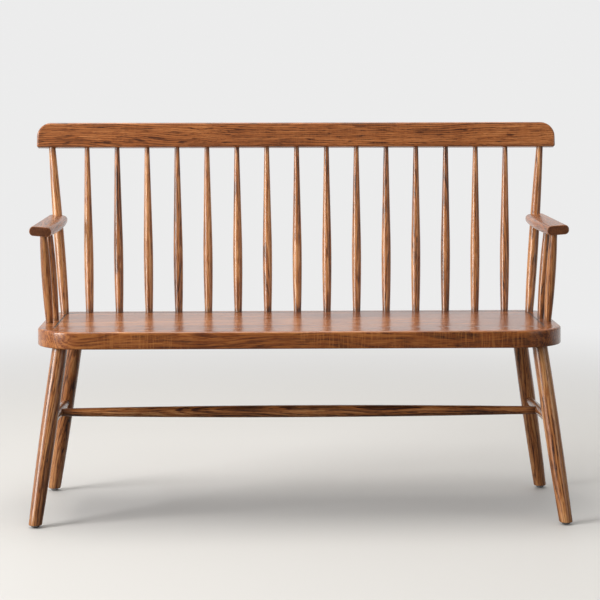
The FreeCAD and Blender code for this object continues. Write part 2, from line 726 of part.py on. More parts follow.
# The seat: one slab with its gutter and sockets, then parted at the glue joints into boards.
seat_blank, seat_sketch = new_body("seat_blank", "XY_Plane")
half_seat = cell("seat_width") / 2
rounded_outline(seat_sketch, [
    (-half_seat, Size(0), cell("seat_front_corner")),
    (half_seat, Size(0), cell("seat_front_corner")),
    (half_seat, cell("seat_depth"), cell("seat_back_corner")),
    (-half_seat, cell("seat_depth"), cell("seat_back_corner")),
])
seat_pad = seat_blank.newObject("PartDesign::Pad", "seat_pad")
seat_pad.Profile = seat_sketch
bind(seat_pad, "Length", cell("seat_thickness"))


round_edges(seat_blank, "seat_top_edge", seat_rim(number("seat_thickness")),
            cell("seat_top_round"))
round_edges(seat_blank, "seat_under_edge", seat_rim(0), cell("seat_under_round"))
seat_blank.Placement.Base = at(0, 0, number("seat_height") - number("seat_thickness"))

# The gutter follows the sides and the back; at the front each end climbs out of the wood.
fade_rise = number("gutter_cut") + number("gutter_lift")
side_x = number("gutter_side")
corner = number("gutter_corner")
front_y = number("gutter_front")
bend_x, bend_y = side_x - corner, number("gutter_back") - corner
bend_middle = corner * math.sin(math.pi / 4)
right_line = (gutter_point(side_x, front_y), gutter_point(side_x, bend_y))
back_line = (gutter_point(bend_x, number("gutter_back")),
             gutter_point(-bend_x, number("gutter_back")))
left_line = (gutter_point(-side_x, bend_y), gutter_point(-side_x, front_y))
right_bend = gutter_point(bend_x + bend_middle, bend_y + bend_middle)
left_bend = gutter_point(-bend_x - bend_middle, bend_y + bend_middle)
fade_y = front_y - number("gutter_fade")
route_start = gutter_point(side_x, fade_y, fade_rise)
route = [
    Part.LineSegment(route_start, right_line[0]).toShape(),
    Part.LineSegment(*right_line).toShape(),
    Part.Arc(right_line[1], right_bend, back_line[0]).toShape(),
    Part.LineSegment(*back_line).toShape(),
    Part.Arc(back_line[1], left_bend, left_line[0]).toShape(),
    Part.LineSegment(*left_line).toShape(),
    Part.LineSegment(left_line[1], gutter_point(-side_x, fade_y, fade_rise)).toShape(),
]
ring = Part.Wire(Part.Circle(route_start, right_line[0] - route_start,
                             number("gutter_cutter") / 2).toShape())
gutter = doc.addObject("Part::Feature", "gutter")
gutter.Shape = Part.Wire(route).makePipeShell([ring], True, False, MITRED)

seat_grooved = cut("seat_grooved", seat_blank, [gutter])
seat_bored = cut("seat_bored", seat_grooved, seat_tools)
joints = [Size(0), cell("seat_joint_first"), cell("seat_joint_second"),
          cell("seat_joint_third"), cell("seat_depth")]
BOARDS = ("front", "middle_front", "middle_back", "back")
for index, name in enumerate(BOARDS):
    near, far = joints[index], joints[index + 1]
    strip = doc.addObject("Part::Box", f"seat_strip_{name}")
    bind(strip, "Length", cell("seat_width"))
    bind(strip, "Width", far - near)
    bind(strip, "Height", cell("seat_thickness"))
    strip.Placement.Base = at(-number("seat_width") / 2, float(near),
                              number("seat_height") - number("seat_thickness"))
    board = doc.addObject("Part::Common", f"seat_board_{name}")
    board.Label = f"seat_board_{name}"
    board.Base = seat_bored
    board.Tool = strip
    nodes.append(board)

doc.recompute()

faults = [item.Label for item in doc.Objects if {"Invalid", "Error"} & set(item.State)]
faults += [node.Label for node in nodes if node.Shape.isNull() or not node.Shape.isValid()]
if faults:
    raise RuntimeError("failed objects: " + ", ".join(faults))

os.makedirs("parts", exist_ok=True)
for node in nodes:
    node.Shape.exportStep(os.path.join("parts", node.Label + ".step"))
    print(f"{node.Label}: {len(node.Shape.Solids)} solid, {node.Shape.Volume / 1000:.1f} cm3")
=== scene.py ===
"""Deacons bench in stained oak: the visible pieces, their finishes and the studio.

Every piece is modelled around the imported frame, in metres: +X is to the right seen from the
front, +Y goes from the front to the back and +Z is up.
"""

import logging
import math
from dataclasses import dataclass, field
from enum import Enum
from typing import Callable, Iterable, Sequence, Union

import bmesh
import bpy
from mathutils import Matrix, Vector


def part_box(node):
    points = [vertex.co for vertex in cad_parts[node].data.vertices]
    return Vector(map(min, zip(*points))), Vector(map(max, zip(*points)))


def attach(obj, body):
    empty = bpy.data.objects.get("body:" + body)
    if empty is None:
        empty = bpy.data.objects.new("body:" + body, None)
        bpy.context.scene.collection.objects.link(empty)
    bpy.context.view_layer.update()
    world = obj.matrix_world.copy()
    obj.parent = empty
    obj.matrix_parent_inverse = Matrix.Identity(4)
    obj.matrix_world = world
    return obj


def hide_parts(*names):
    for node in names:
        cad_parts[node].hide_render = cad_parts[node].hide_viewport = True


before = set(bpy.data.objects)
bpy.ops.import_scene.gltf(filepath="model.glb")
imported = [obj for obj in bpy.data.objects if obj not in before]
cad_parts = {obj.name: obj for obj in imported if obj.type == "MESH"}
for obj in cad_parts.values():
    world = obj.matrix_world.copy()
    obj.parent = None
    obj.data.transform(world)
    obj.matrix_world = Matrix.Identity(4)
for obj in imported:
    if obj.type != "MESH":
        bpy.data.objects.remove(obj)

LOG = logging.getLogger("deacons_bench")
BODY = "root"
UP = Vector((0, 0, 1))
TOUCH = 1e-5
QUARTER = math.pi / 2
FRONT_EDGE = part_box("seat_board_front")[0].y
SEAT_TOP = 0.445
HASH = (12.9898, 78.233, 43758.5453)
TRUNK = (3.0, 0.09, 0.05)

Colour = tuple[float, float, float, float]
Socket = Union[bpy.types.NodeSocket, float]
Test = Callable[[Sequence[Vector]], bool]


class Side(Enum):
    """The bench's two ends, seen from the front."""

    LEFT = -1
    RIGHT = 1

    @property
    def word(self) -> str:
        """The side as it stands in a node's name."""
        return self.name.lower()


class Row(Enum):
    """The front and the back pair of legs."""

    FRONT = "front"
    BACK = "back"


class Kind(Enum):
    """What a selection in edit mode holds."""

    VERT = "verts"
    EDGE = "edges"
    FACE = "faces"


def linear(red: int, green: int, blue: int) -> Colour:
    """Return a colour given in screen values as linear light.

    Args:
        red: Red from 0 to 255.
        green: Green from 0 to 255.
        blue: Blue from 0 to 255.

    Returns:
        The four numbers that a colour socket takes.
    """
    parts = (value / 255 for value in (red, green, blue))
    return (*(part / 12.92 if part <= 0.04045 else ((part + 0.055) / 1.055) ** 2.4
              for part in parts), 1.0)


class Blank:
    """A workpiece that is shaped with Blender's own modelling tools.

    Args:
        item: The object that the tools work on.
    """

    SAME = 1e-6
    MANY = 20

    def __init__(self, item: bpy.types.Object) -> None:
        """Take up one object."""
        self.item = item

    @staticmethod
    def clear_bench() -> None:
        """Leave edit mode and deselect everything."""
        if bpy.context.object and bpy.context.object.mode != "OBJECT":
            bpy.ops.object.mode_set(mode="OBJECT")
        bpy.ops.object.select_all(action="DESELECT")

    @classmethod
    def take_new(cls, name: str) -> "Blank":
        """Take up the primitive that was just added and name it.

        Args:
            name: The piece's name.

        Returns:
            The workpiece.
        """
        item = bpy.context.object
        item.name = name
        item.data.name = name
        return cls(item)

    @classmethod
    def ring(cls, name: str, radius: float, sides: int, place: Vector = Vector()) -> "Blank":
        """Start from an open ring of edges.

        Args:
            name: The piece's name.
            radius: The ring's radius.
            sides: How many edges it has.
            place: Its centre.

        Returns:
            The new workpiece, in edit mode with the ring selected.
        """
        cls.clear_bench()
        bpy.ops.mesh.primitive_circle_add(vertices=sides, radius=radius, location=(0, 0, 0))
        blank = cls.take_new(name)
        blank.pick_all()
        blank.move(place)
        return blank

    @classmethod
    def plate(cls, name: str, length: float, width: float) -> "Blank":
        """Start from a flat rectangle in the XY plane, in edit mode.

        Args:
            name: The piece's name.
            length: Its size along X.
            width: Its size along Y.

        Returns:
            The new workpiece, with the rectangle selected.
        """
        cls.clear_bench()
        bpy.ops.mesh.primitive_plane_add(size=1, location=(0, 0, 0))
        blank = cls.take_new(name)
        blank.pick_all()
        blank.resize((length, width, 1))
        return blank

    @classmethod
    def outline(cls, name: str, places: Sequence[Vector]) -> "Blank":
        """Draw a closed face corner by corner, in edit mode.

        Args:
            name: The piece's name.
            places: The outline's corners, in order.

        Returns:
            The new workpiece with its one face selected.
        """
        blank = cls.plate(name, 1, 1)
        bpy.ops.mesh.merge(type="CENTER")
        blank.move(places[0])
        for before, place in zip(places, places[1:]):
            blank.extrude(place - before)
        blank.pick_all()
        blank.close()
        return blank

    def rest(self) -> None:
        """Go back to object mode with only this piece selected."""
        self.clear_bench()
        bpy.context.view_layer.objects.active = self.item
        self.item.select_set(True)

    def edit(self) -> None:
        """Go into edit mode on this piece alone."""
        if self.item.mode != "EDIT":
            self.rest()
            bpy.ops.object.mode_set(mode="EDIT")
            bpy.ops.mesh.select_mode(type="VERT")

    def pick_all(self) -> None:
        """Select all of the piece, in edit mode."""
        self.edit()
        bpy.ops.mesh.select_all(action="SELECT")

    def pick(self, kind: Kind, wanted: Test) -> None:
        """Select what lies where a test accepts it.

        Args:
            kind: Whether vertices, edges or faces are selected.
            wanted: The test, given the corner places of each one.
        """
        self.edit()
        bpy.ops.mesh.select_mode(type=kind.name)
        bpy.ops.mesh.select_all(action="DESELECT")
        for part in getattr(bmesh.from_edit_mesh(self.item.data), kind.value):
            corners = [part.co] if kind is Kind.VERT else [vert.co for vert in part.verts]
            if wanted(corners):
                part.select_set(True)
        bmesh.update_edit_mesh(self.item.data)

    def move(self, way: Sequence[float]) -> None:
        """Move the selection by a distance."""
        bpy.ops.transform.translate(value=way)

    def resize(self, factors: Sequence[float], centre: Sequence[float] = (0, 0, 0)) -> None:
        """Resize the selection about a centre."""
        bpy.ops.transform.resize(value=factors, center_override=centre)

    def extrude(self, way: Sequence[float]) -> None:
        """Pull the selection out by a distance."""
        bpy.ops.mesh.extrude_region_move(TRANSFORM_OT_translate={"value": way})

    def round_off(self, kind: Kind, wanted: Test, radius: float, flats: int) -> None:
        """Round edges, or the corners of a flat face, where a test accepts them.

        Args:
            kind: Edges, or vertices for corners.
            wanted: The test, given the places of each one's ends.
            radius: The radius of the round.
            flats: How many flats it has.
        """
        self.pick(kind, wanted)
        bpy.ops.mesh.bevel(offset=radius, segments=flats, profile=0.5, clamp_overlap=False,
                           affect="VERTICES" if kind is Kind.VERT else "EDGES")

    def close(self) -> None:
        """Fill the selected ring with a face."""
        bpy.ops.mesh.edge_face_add()

    def thicken(self, thickness: float) -> None:
        """Pull a flat outline out to a board that lies evenly on both sides of it.

        Args:
            thickness: The board's thickness.
        """
        self.pick(Kind.FACE, lambda corners: True)
        self.extrude((0, 0, thickness))
        self.pick_all()
        self.move((0, 0, -thickness / 2))
        self.tidy()

    def saw(self, place: Sequence[float], way: Sequence[float], **kept: bool) -> None:
        """Saw the whole piece along a plane.

        Args:
            place: A point of the plane.
            way: The way that the plane faces.
            **kept: What becomes of the cut and of the piece's two parts.
        """
        self.pick_all()
        bpy.ops.mesh.bisect(plane_co=place, plane_no=way, **kept)

    def keep_between(self, near: float, far: float) -> None:
        """Saw the piece across its depth and keep what lies between two planes.

        Args:
            near: The depth of the first saw cut.
            far: The depth of the second saw cut.
        """
        for depth, before in ((near, True), (far, False)):
            self.saw((0, depth, 0), (0, 1, 0), use_fill=True, clear_inner=before,
                     clear_outer=not before)

    def score(self, way: Vector, distances: Iterable[float]) -> None:
        """Add a loop of edges across the piece at each distance along a way.

        Args:
            way: The way, a unit vector.
            distances: Where the loops go.
        """
        for distance in distances:
            self.saw(way * distance, way)

    def inset_large(self, margin: float) -> None:
        """Set a margin of its own into each large flat face, so that its edge shades cleanly.

        Args:
            margin: The margin's width.
        """
        self.pick(Kind.FACE, lambda corners: len(corners) > self.MANY)
        bpy.ops.mesh.inset(thickness=margin, use_individual=True)
        self.tidy()

    def tidy(self) -> None:
        """Merge doubles and turn all faces outwards."""
        self.pick_all()
        bpy.ops.mesh.remove_doubles(threshold=self.SAME)
        bpy.ops.mesh.normals_make_consistent(inside=False)

    def place(self, at: Matrix) -> None:
        """Put the piece at its place and write the place into its mesh.

        Args:
            at: Where the piece's origin goes, and how it is turned.
        """
        self.rest()
        self.item.matrix_world = at
        bpy.ops.object.transform_apply(location=True, rotation=True, scale=True)

    def smooth(self, degrees: float = 32) -> None:
        """Shade the piece smooth, with sharp edges past an angle."""
        self.rest()
        bpy.ops.object.shade_smooth_by_angle(angle=math.radians(degrees))

    def copy(self, name: str) -> "Blank":
        """Return a copy of the piece with its own mesh.

        Args:
            name: The copy's name.

        Returns:
            The copy.
        """
        self.rest()
        bpy.ops.object.duplicate()
        return self.take_new(name)

    def discard(self) -> None:
        """Throw the piece away."""
        self.rest()
        bpy.ops.object.delete()

    def bore_all(self, tenons: Iterable["Tenon"]) -> None:
        """Drill the sockets of all these tenons."""
        for tenon in tenons:
            tenon.bore(self)

    def take_out(self, tool: "Blank") -> None:
        """Cut another workpiece out of this one and throw the tool away.

        Args:
            tool: The closed shape to take out.
        """
        self.rest()
        cutting = self.item.modifiers.new("cut", "BOOLEAN")
        cutting.operation = "DIFFERENCE"
        cutting.solver = "EXACT"
        cutting.object = tool.item
        bpy.ops.object.modifier_apply(modifier=cutting.name)
        tool.discard()


@dataclass(frozen=True)
class Tenon:
    """One round tenon in its socket.

    Attributes:
        tip: Where the tenon ends.
        outward: The way from there to the socket's mouth.
        radius: The tenon's radius.
        depth: The socket's depth.
    """

    tip: Vector
    outward: Vector
    radius: float
    depth: float

    PLAY = 0.0001
    TIP_ROOM = 0.0003
    OVERRUN = 0.008
    SIDES = 48

    def bore(self, board: Blank) -> None:
        """Drill this tenon's socket into a board.

        Args:
            board: The board to drill.
        """
        tool = Blank.ring("boring_tool", self.radius + self.PLAY, self.SIDES)
        tool.close()
        tool.extrude((0, 0, self.depth + self.TIP_ROOM + self.OVERRUN))
        tool.tidy()
        start = self.tip - self.outward * self.TIP_ROOM
        tool.place(Matrix.Translation(start) @ turn_to(self.outward))
        board.take_out(tool)


def turn_to(way: Vector, roll: float = 0.0) -> Matrix:
    """Return the turn that points +Z along a way, after a roll about +Z.

    Args:
        way: Where +Z points afterwards.
        roll: The roll in degrees.

    Returns:
        The turn as a 4 by 4 matrix.
    """
    return (UP.rotation_difference(way).to_matrix().to_4x4()
            @ Matrix.Rotation(math.radians(roll), 4, "Z"))


def at(width: float, depth: float, height: float) -> Vector:
    """Return the place at a width, a depth from the seat's front edge and a height."""
    return Vector((width, FRONT_EDGE + depth, height))


def arc(centre: Vector, radius: float, first: float, last: float, steps: int) -> list[Vector]:
    """Return places on an arc in a plane.

    Args:
        centre: The arc's centre.
        radius: Its radius.
        first: The angle where it starts.
        last: The angle where it ends.
        steps: How many parts it has.

    Returns:
        The places from the start to the end, with both.
    """
    turns = (first + (last - first) * step / steps for step in range(steps + 1))
    return [centre + Vector((math.cos(turn), math.sin(turn))) * radius for turn in turns]


def at_height(foot: Vector, head: Vector, height: float) -> Vector:
    """Return the place at a height on the line from foot to head."""
    return foot + (head - foot) * ((height - foot.z) / (head.z - foot.z))


@dataclass(frozen=True)
class Turning:
    """The outline of one kind of turned piece.

    Attributes:
        foot: Radius at the foot.
        belly: Largest radius.
        head: Radius at the head.
        belly_height: Length from the visible foot to the largest radius.
        foot_tenon: Length that goes into the socket at the foot.
        head_tenon: Length that goes into the socket at the head.
        head_tenon_radius: The head tenon's radius, where it is thinner than the head.
        shoulder: Length above the belly at which a straight taper starts, or 0 for an arc.
        sawn_foot: Whether the foot is sawn off, so that no ring may lie near the saw cut.
        sides: How many flats the mesh has round the piece.
        steps: How many rings each of the two long curves has.
    """

    foot: float
    belly: float
    head: float
    belly_height: float
    foot_tenon: float
    head_tenon: float
    head_tenon_radius: float = 0.0
    shoulder: float = 0.0
    sawn_foot: bool = False
    sides: int = 40
    steps: int = 14

    TIP_ROUND = 0.0008

    def swell(self, end: float, run: float, away: float) -> float:
        """Return the radius on the curve between an end and the belly.

        Args:
            end: The radius at the end.
            run: The curve's length along the piece.
            away: The distance from the belly.

        Returns:
            The radius there.
        """
        bulge = self.belly - end
        bow = (run ** 2 + bulge ** 2) / (2 * bulge)
        return self.belly - bow + math.sqrt(bow ** 2 - away ** 2)

    def taper(self, run: float, away: float) -> float:
        """Return the radius above the belly, where the shoulder starts a straight taper.

        Args:
            run: The length from the belly to the head.
            away: The distance from the belly.

        Returns:
            The radius there.
        """
        if not self.shoulder:
            return self.swell(self.head, run, away)
        drop = (self.belly - self.head) * self.shoulder / (2 * run - self.shoulder)
        edge = self.belly - drop
        if away < self.shoulder:
            return self.swell(edge, self.shoulder, away)
        share = (away - self.shoulder) / (run - self.shoulder)
        return edge + (self.head - edge) * share

    def stations(self, length: float) -> list[tuple[float, float]]:
        """Return the outline from the foot's tip to the head's tip.

        Args:
            length: The piece's whole length with both tenons.

        Returns:
            Pairs of height and radius.
        """
        neck = self.head_tenon_radius or self.head
        belly_at = self.foot_tenon + self.belly_height
        upper_run = length - self.head_tenon - belly_at
        rows = [(0.0, self.foot)]
        if not self.sawn_foot:
            rows = [(0.0, self.foot - self.TIP_ROUND), (self.TIP_ROUND, self.foot)]
        for step in range(self.sawn_foot, self.steps + 1):
            away = self.belly_height * (1 - step / self.steps)
            rows.append((belly_at - away, self.swell(self.foot, self.belly_height, away)))
        for step in range(1, self.steps + 1):
            away = upper_run * step / self.steps
            rows.append((belly_at + away, self.taper(upper_run, away)))
        if self.head_tenon_radius:
            rows.append((length - self.head_tenon, neck))
        rows += [(length - self.TIP_ROUND, neck), (length, neck - self.TIP_ROUND)]
        return rows

    def blank(self, name: str, length: float) -> Blank:
        """Turn one piece on the spot, standing on the origin along +Z."""
        return turned(name, self.stations(length), self.sides)


def turned(name: str, rows: Sequence[tuple[float, float]], sides: int) -> Blank:
    """Turn a closed piece, ring by ring.

    Args:
        name: The piece's name.
        rows: Height and radius of each ring, from the bottom to the top.
        sides: How many flats the mesh has round the piece.

    Returns:
        The workpiece, standing on the origin.
    """
    height, radius = rows[0]
    blank = Blank.ring(name, radius, sides, Vector((0, 0, height)))
    for next_height, next_radius in rows[1:]:
        blank.extrude((0, 0, next_height - height))
        factor = next_radius / radius
        blank.resize((factor, factor, 1), (0, 0, next_height))
        height, radius = next_height, next_radius
    blank.close()
    low = rows[0][0] + TOUCH
    blank.pick(Kind.VERT, lambda corners: corners[0].z < low)
    blank.close()
    blank.tidy()
    return blank


@dataclass
class Figure:
    """Where a piece was sawn from its tree, how it has worn, and the painted shade and light
    falloff it carries.

    Attributes:
        home: The piece's own frame, with the middle of the piece at its origin.
        along: The index of the axis in that frame that runs with the grain.
        shift: The piece's place in the tree, so that no two pieces look alike.
        tone: How much lighter or darker the piece took the stain, from -1 to 1.
        fading: How much the tone falls in a metre along the grain, a painted falloff of the light
            from the left.
        worn: The rubbed share at a place in the piece's own frame, from 0 to 1.
        grimed: The darkened share at a place in the piece's own frame, from 0 to 1: end-grain
            stain on the arms, painted contact shade at joints and painted shade under the seat.
    """

    home: Matrix
    along: int
    shift: Vector
    tone: float
    worn: Callable[[Vector], float] = field(default=lambda place: 0.0)
    grimed: Callable[[Vector], float] = field(default=lambda place: 0.0)
    fading: float = 0.0

    def stamp(self, item: bpy.types.Object) -> None:
        """Write the figure onto a piece as attributes that its finish reads.

        Args:
            item: The finished piece, at its place.
        """
        mesh = item.data
        inward = self.home.inverted()
        grain: list[float] = []
        state: list[float] = []
        for vert in mesh.vertices:
            own = inward @ vert.co
            along_first = Vector([own[(self.along + turn) % 3] for turn in range(3)])
            grain.extend(along_first + self.shift)
            # The tone falls along the grain as painted light falloff, lighter towards the left
            # end.
            tone = self.tone - self.fading * along_first.x
            state.extend((self.worn(own), self.grimed(own), 0.5 + tone / 2))
        for name, values in (("grain", grain), ("state", state)):
            layer = mesh.attributes.new(name, "FLOAT_VECTOR", "POINT")
            layer.data.foreach_set("vector", values)


def finish_piece(blank: Blank, figure: Figure, material: bpy.types.Material,
                 node: str) -> None:
    """Dress a finished workpiece and let it stand for its node in the frame.

    Args:
        blank: The workpiece at its place.
        figure: Its grain and wear.
        material: Its finish.
        node: The node that it stands for.
    """
    blank.rest()
    figure.stamp(blank.item)
    blank.item.data.materials.clear()
    blank.item.data.materials.append(material)
    blank.smooth()
    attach(blank.item, BODY)
    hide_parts(node)
    LOG.info("%s: %d faces", node, len(blank.item.data.polygons))


@dataclass(frozen=True)
class Mottle:
    """A noise that is stretched differently along each axis.

    Attributes:
        stretch: Repeats in a metre along each axis.
        detail: How many finer layers it has.
        low: The value below which nothing of it shows.
        high: The value above which all of it shows.
        roughness: How strong the finer layers are.
        distortion: How much it swirls.
    """

    stretch: tuple[float, float, float]
    detail: float = 2.0
    low: float = 0.3
    high: float = 0.7
    roughness: float = 0.5
    distortion: float = 0.0


class Recipe:
    """A node tree that is put together node by node.

    Args:
        owner: The material or the world that the tree belongs to.
    """

    COLUMNS = 9
    NODE_SPACE = (220, 260)

    def __init__(self, owner: Union[bpy.types.Material, bpy.types.World]) -> None:
        """Start from an empty node tree."""
        owner.use_nodes = True
        self.owner = owner
        self.tree = owner.node_tree
        self.tree.nodes.clear()

    def add(self, kind: str, **settings: object) -> bpy.types.Node:
        """Add a node and set its properties.

        Args:
            kind: The node's type name.
            **settings: Properties by name.

        Returns:
            The new node.
        """
        row, column = divmod(len(self.tree.nodes), self.COLUMNS)
        node = self.tree.nodes.new(kind)
        node.location = (self.NODE_SPACE[0] * column, -self.NODE_SPACE[1] * row)
        for name, value in settings.items():
            setattr(node, name, value)
        return node

    def feed(self, node: bpy.types.Node, sources: dict[Union[str, int], object]) -> None:
        """Link a node's inputs to their sources, or set them to plain values.

        Args:
            node: The node.
            sources: The source of each input, by name or number.
        """
        for key, source in sources.items():
            if isinstance(source, bpy.types.NodeSocket):
                self.tree.links.new(source, node.inputs[key])
            else:
                node.inputs[key].default_value = source

    def place(self) -> bpy.types.NodeSocket:
        """Return the place in metres."""
        return self.add("ShaderNodeTexCoord").outputs["Object"]

    def stamped(self, name: str) -> bpy.types.NodeSocket:
        """Return an attribute that was stamped onto the piece."""
        return self.add("ShaderNodeAttribute", attribute_name=name).outputs["Vector"]

    def split(self, vector: bpy.types.NodeSocket) -> Sequence[bpy.types.NodeSocket]:
        """Return a vector's three numbers.

        Args:
            vector: The vector.

        Returns:
            The sockets of X, Y and Z.
        """
        node = self.add("ShaderNodeSeparateXYZ")
        self.feed(node, {0: vector})
        return node.outputs

    def math(self, operation: str, first: Socket, second: Socket = 0.0,
             clamp: bool = False) -> bpy.types.NodeSocket:
        """Return the result of a sum on two numbers.

        Args:
            operation: The operation's type name.
            first: The first number.
            second: The second number, where it takes two.
            clamp: Whether the result stays from 0 to 1.

        Returns:
            The result.
        """
        node = self.add("ShaderNodeMath", operation=operation, use_clamp=clamp)
        self.feed(node, {0: first, 1: second})
        return node.outputs[0]

    def plus(self, first: Socket, second: Socket, clamp: bool = False) -> bpy.types.NodeSocket:
        """Return the sum of two numbers."""
        return self.math("ADD", first, second, clamp)

    def minus(self, first: Socket, second: Socket) -> bpy.types.NodeSocket:
        """Return the difference of two numbers."""
        return self.math("SUBTRACT", first, second)

    def times(self, first: Socket, second: Socket) -> bpy.types.NodeSocket:
        """Return the product of two numbers."""
        return self.math("MULTIPLY", first, second)

    def vector(self, operation: str, first: object, second: object = (0.0, 0.0, 0.0),
               result: str = "Vector") -> bpy.types.NodeSocket:
        """Return the result of a sum on two vectors, a vector or a single value.

        Args:
            operation: The operation's type name.
            first: The first vector.
            second: The second vector, where it takes two.
            result: Which output is wanted, Vector or Value.

        Returns:
            The result.
        """
        node = self.add("ShaderNodeVectorMath", operation=operation)
        self.feed(node, {0: first, 1: second})
        return node.outputs[result]

    def noise(self, place: bpy.types.NodeSocket, mottle: Mottle,
              output: Union[int, str] = 0) -> bpy.types.NodeSocket:
        """Return a mottle's noise as it is, its value or its colour.

        Args:
            place: The place in metres.
            mottle: The mottle.
            output: The output's name or number.

        Returns:
            The noise.
        """
        node = self.add("ShaderNodeTexNoise", noise_dimensions="3D")
        self.feed(node, {"Vector": self.vector("MULTIPLY", place, mottle.stretch), "Scale": 1.0,
                         "Detail": mottle.detail, "Roughness": mottle.roughness,
                         "Distortion": mottle.distortion})
        return node.outputs[output]

    def shown(self, place: bpy.types.NodeSocket, mottle: Mottle, new_low: float = 0.0,
              new_high: float = 1.0, kind: str = "SMOOTHSTEP") -> bpy.types.NodeSocket:
        """Return how much of a mottle shows at a place, from the new low to the new high."""
        return self.remap(self.noise(place, mottle), mottle.low, mottle.high, new_low, new_high,
                          kind)

    def remap(self, value: Socket, low: float, high: float, new_low: float = 0.0,
              new_high: float = 1.0, kind: str = "SMOOTHSTEP") -> bpy.types.NodeSocket:
        """Return a value moved from one range to another, clamped.

        Args:
            value: The value.
            low: Where the old range starts.
            high: Where the old range ends.
            new_low: What the start becomes.
            new_high: What the end becomes.
            kind: How it goes from one to the other.

        Returns:
            The moved value.
        """
        node = self.add("ShaderNodeMapRange", interpolation_type=kind)
        self.feed(node, {"Value": value, "From Min": low, "From Max": high, "To Min": new_low,
                         "To Max": new_high})
        return node.outputs["Result"]

    def ramp(self, value: Socket, stops: Sequence[tuple[float, Colour]]) -> bpy.types.NodeSocket:
        """Return the colour that a value has on a ramp of colour stops.

        Args:
            value: The value.
            stops: The position and the colour of each stop.

        Returns:
            The colour.
        """
        node = self.add("ShaderNodeValToRGB")
        marks = node.color_ramp.elements
        while len(marks) < len(stops):
            marks.new(0.5)
        for mark, (position, colour) in zip(marks, stops):
            mark.position = position
            mark.color = colour
        self.feed(node, {0: value})
        return node.outputs["Color"]

    def blend(self, share: Socket, first: object, second: object) -> bpy.types.NodeSocket:
        """Return two colours laid over each other, with a share of the second one.

        Args:
            share: How much of the second one there is.
            first: The colour below.
            second: The colour on top.

        Returns:
            The mixed colour.
        """
        node = self.add("ShaderNodeMix", data_type="RGBA")
        self.feed(node, {0: share, 6: first, 7: second})
        return node.outputs[2]

    def bump(self, height: Socket, relief: tuple[float, float],
             normal: object = None) -> bpy.types.NodeSocket:
        """Return a normal that is bent by a height.

        Args:
            height: The height, from 0 to 1.
            relief: How many metres that stands for, and how strongly it shows.
            normal: The normal to bend, or none for the surface's own.

        Returns:
            The bent normal.
        """
        node = self.add("ShaderNodeBump")
        self.feed(node, {"Height": height, "Distance": relief[0], "Strength": relief[1]})
        if normal is not None:
            self.feed(node, {"Normal": normal})
        return node.outputs["Normal"]

    def shader(self, kind: str, sources: dict[Union[str, int], object]) -> bpy.types.NodeSocket:
        """Add a shader with its inputs and return its output.

        Args:
            kind: The shader's type name.
            sources: The source of each input, by name or number.

        Returns:
            The shader's output.
        """
        node = self.add(kind)
        self.feed(node, sources)
        return node.outputs[0]

    def finish(self, shader: bpy.types.NodeSocket, kind: str = "ShaderNodeOutputMaterial"
               ) -> Union[bpy.types.Material, bpy.types.World]:
        """Link the last shader to an output and return the tree's owner."""
        self.feed(self.add(kind), {"Surface": shader})
        return self.owner


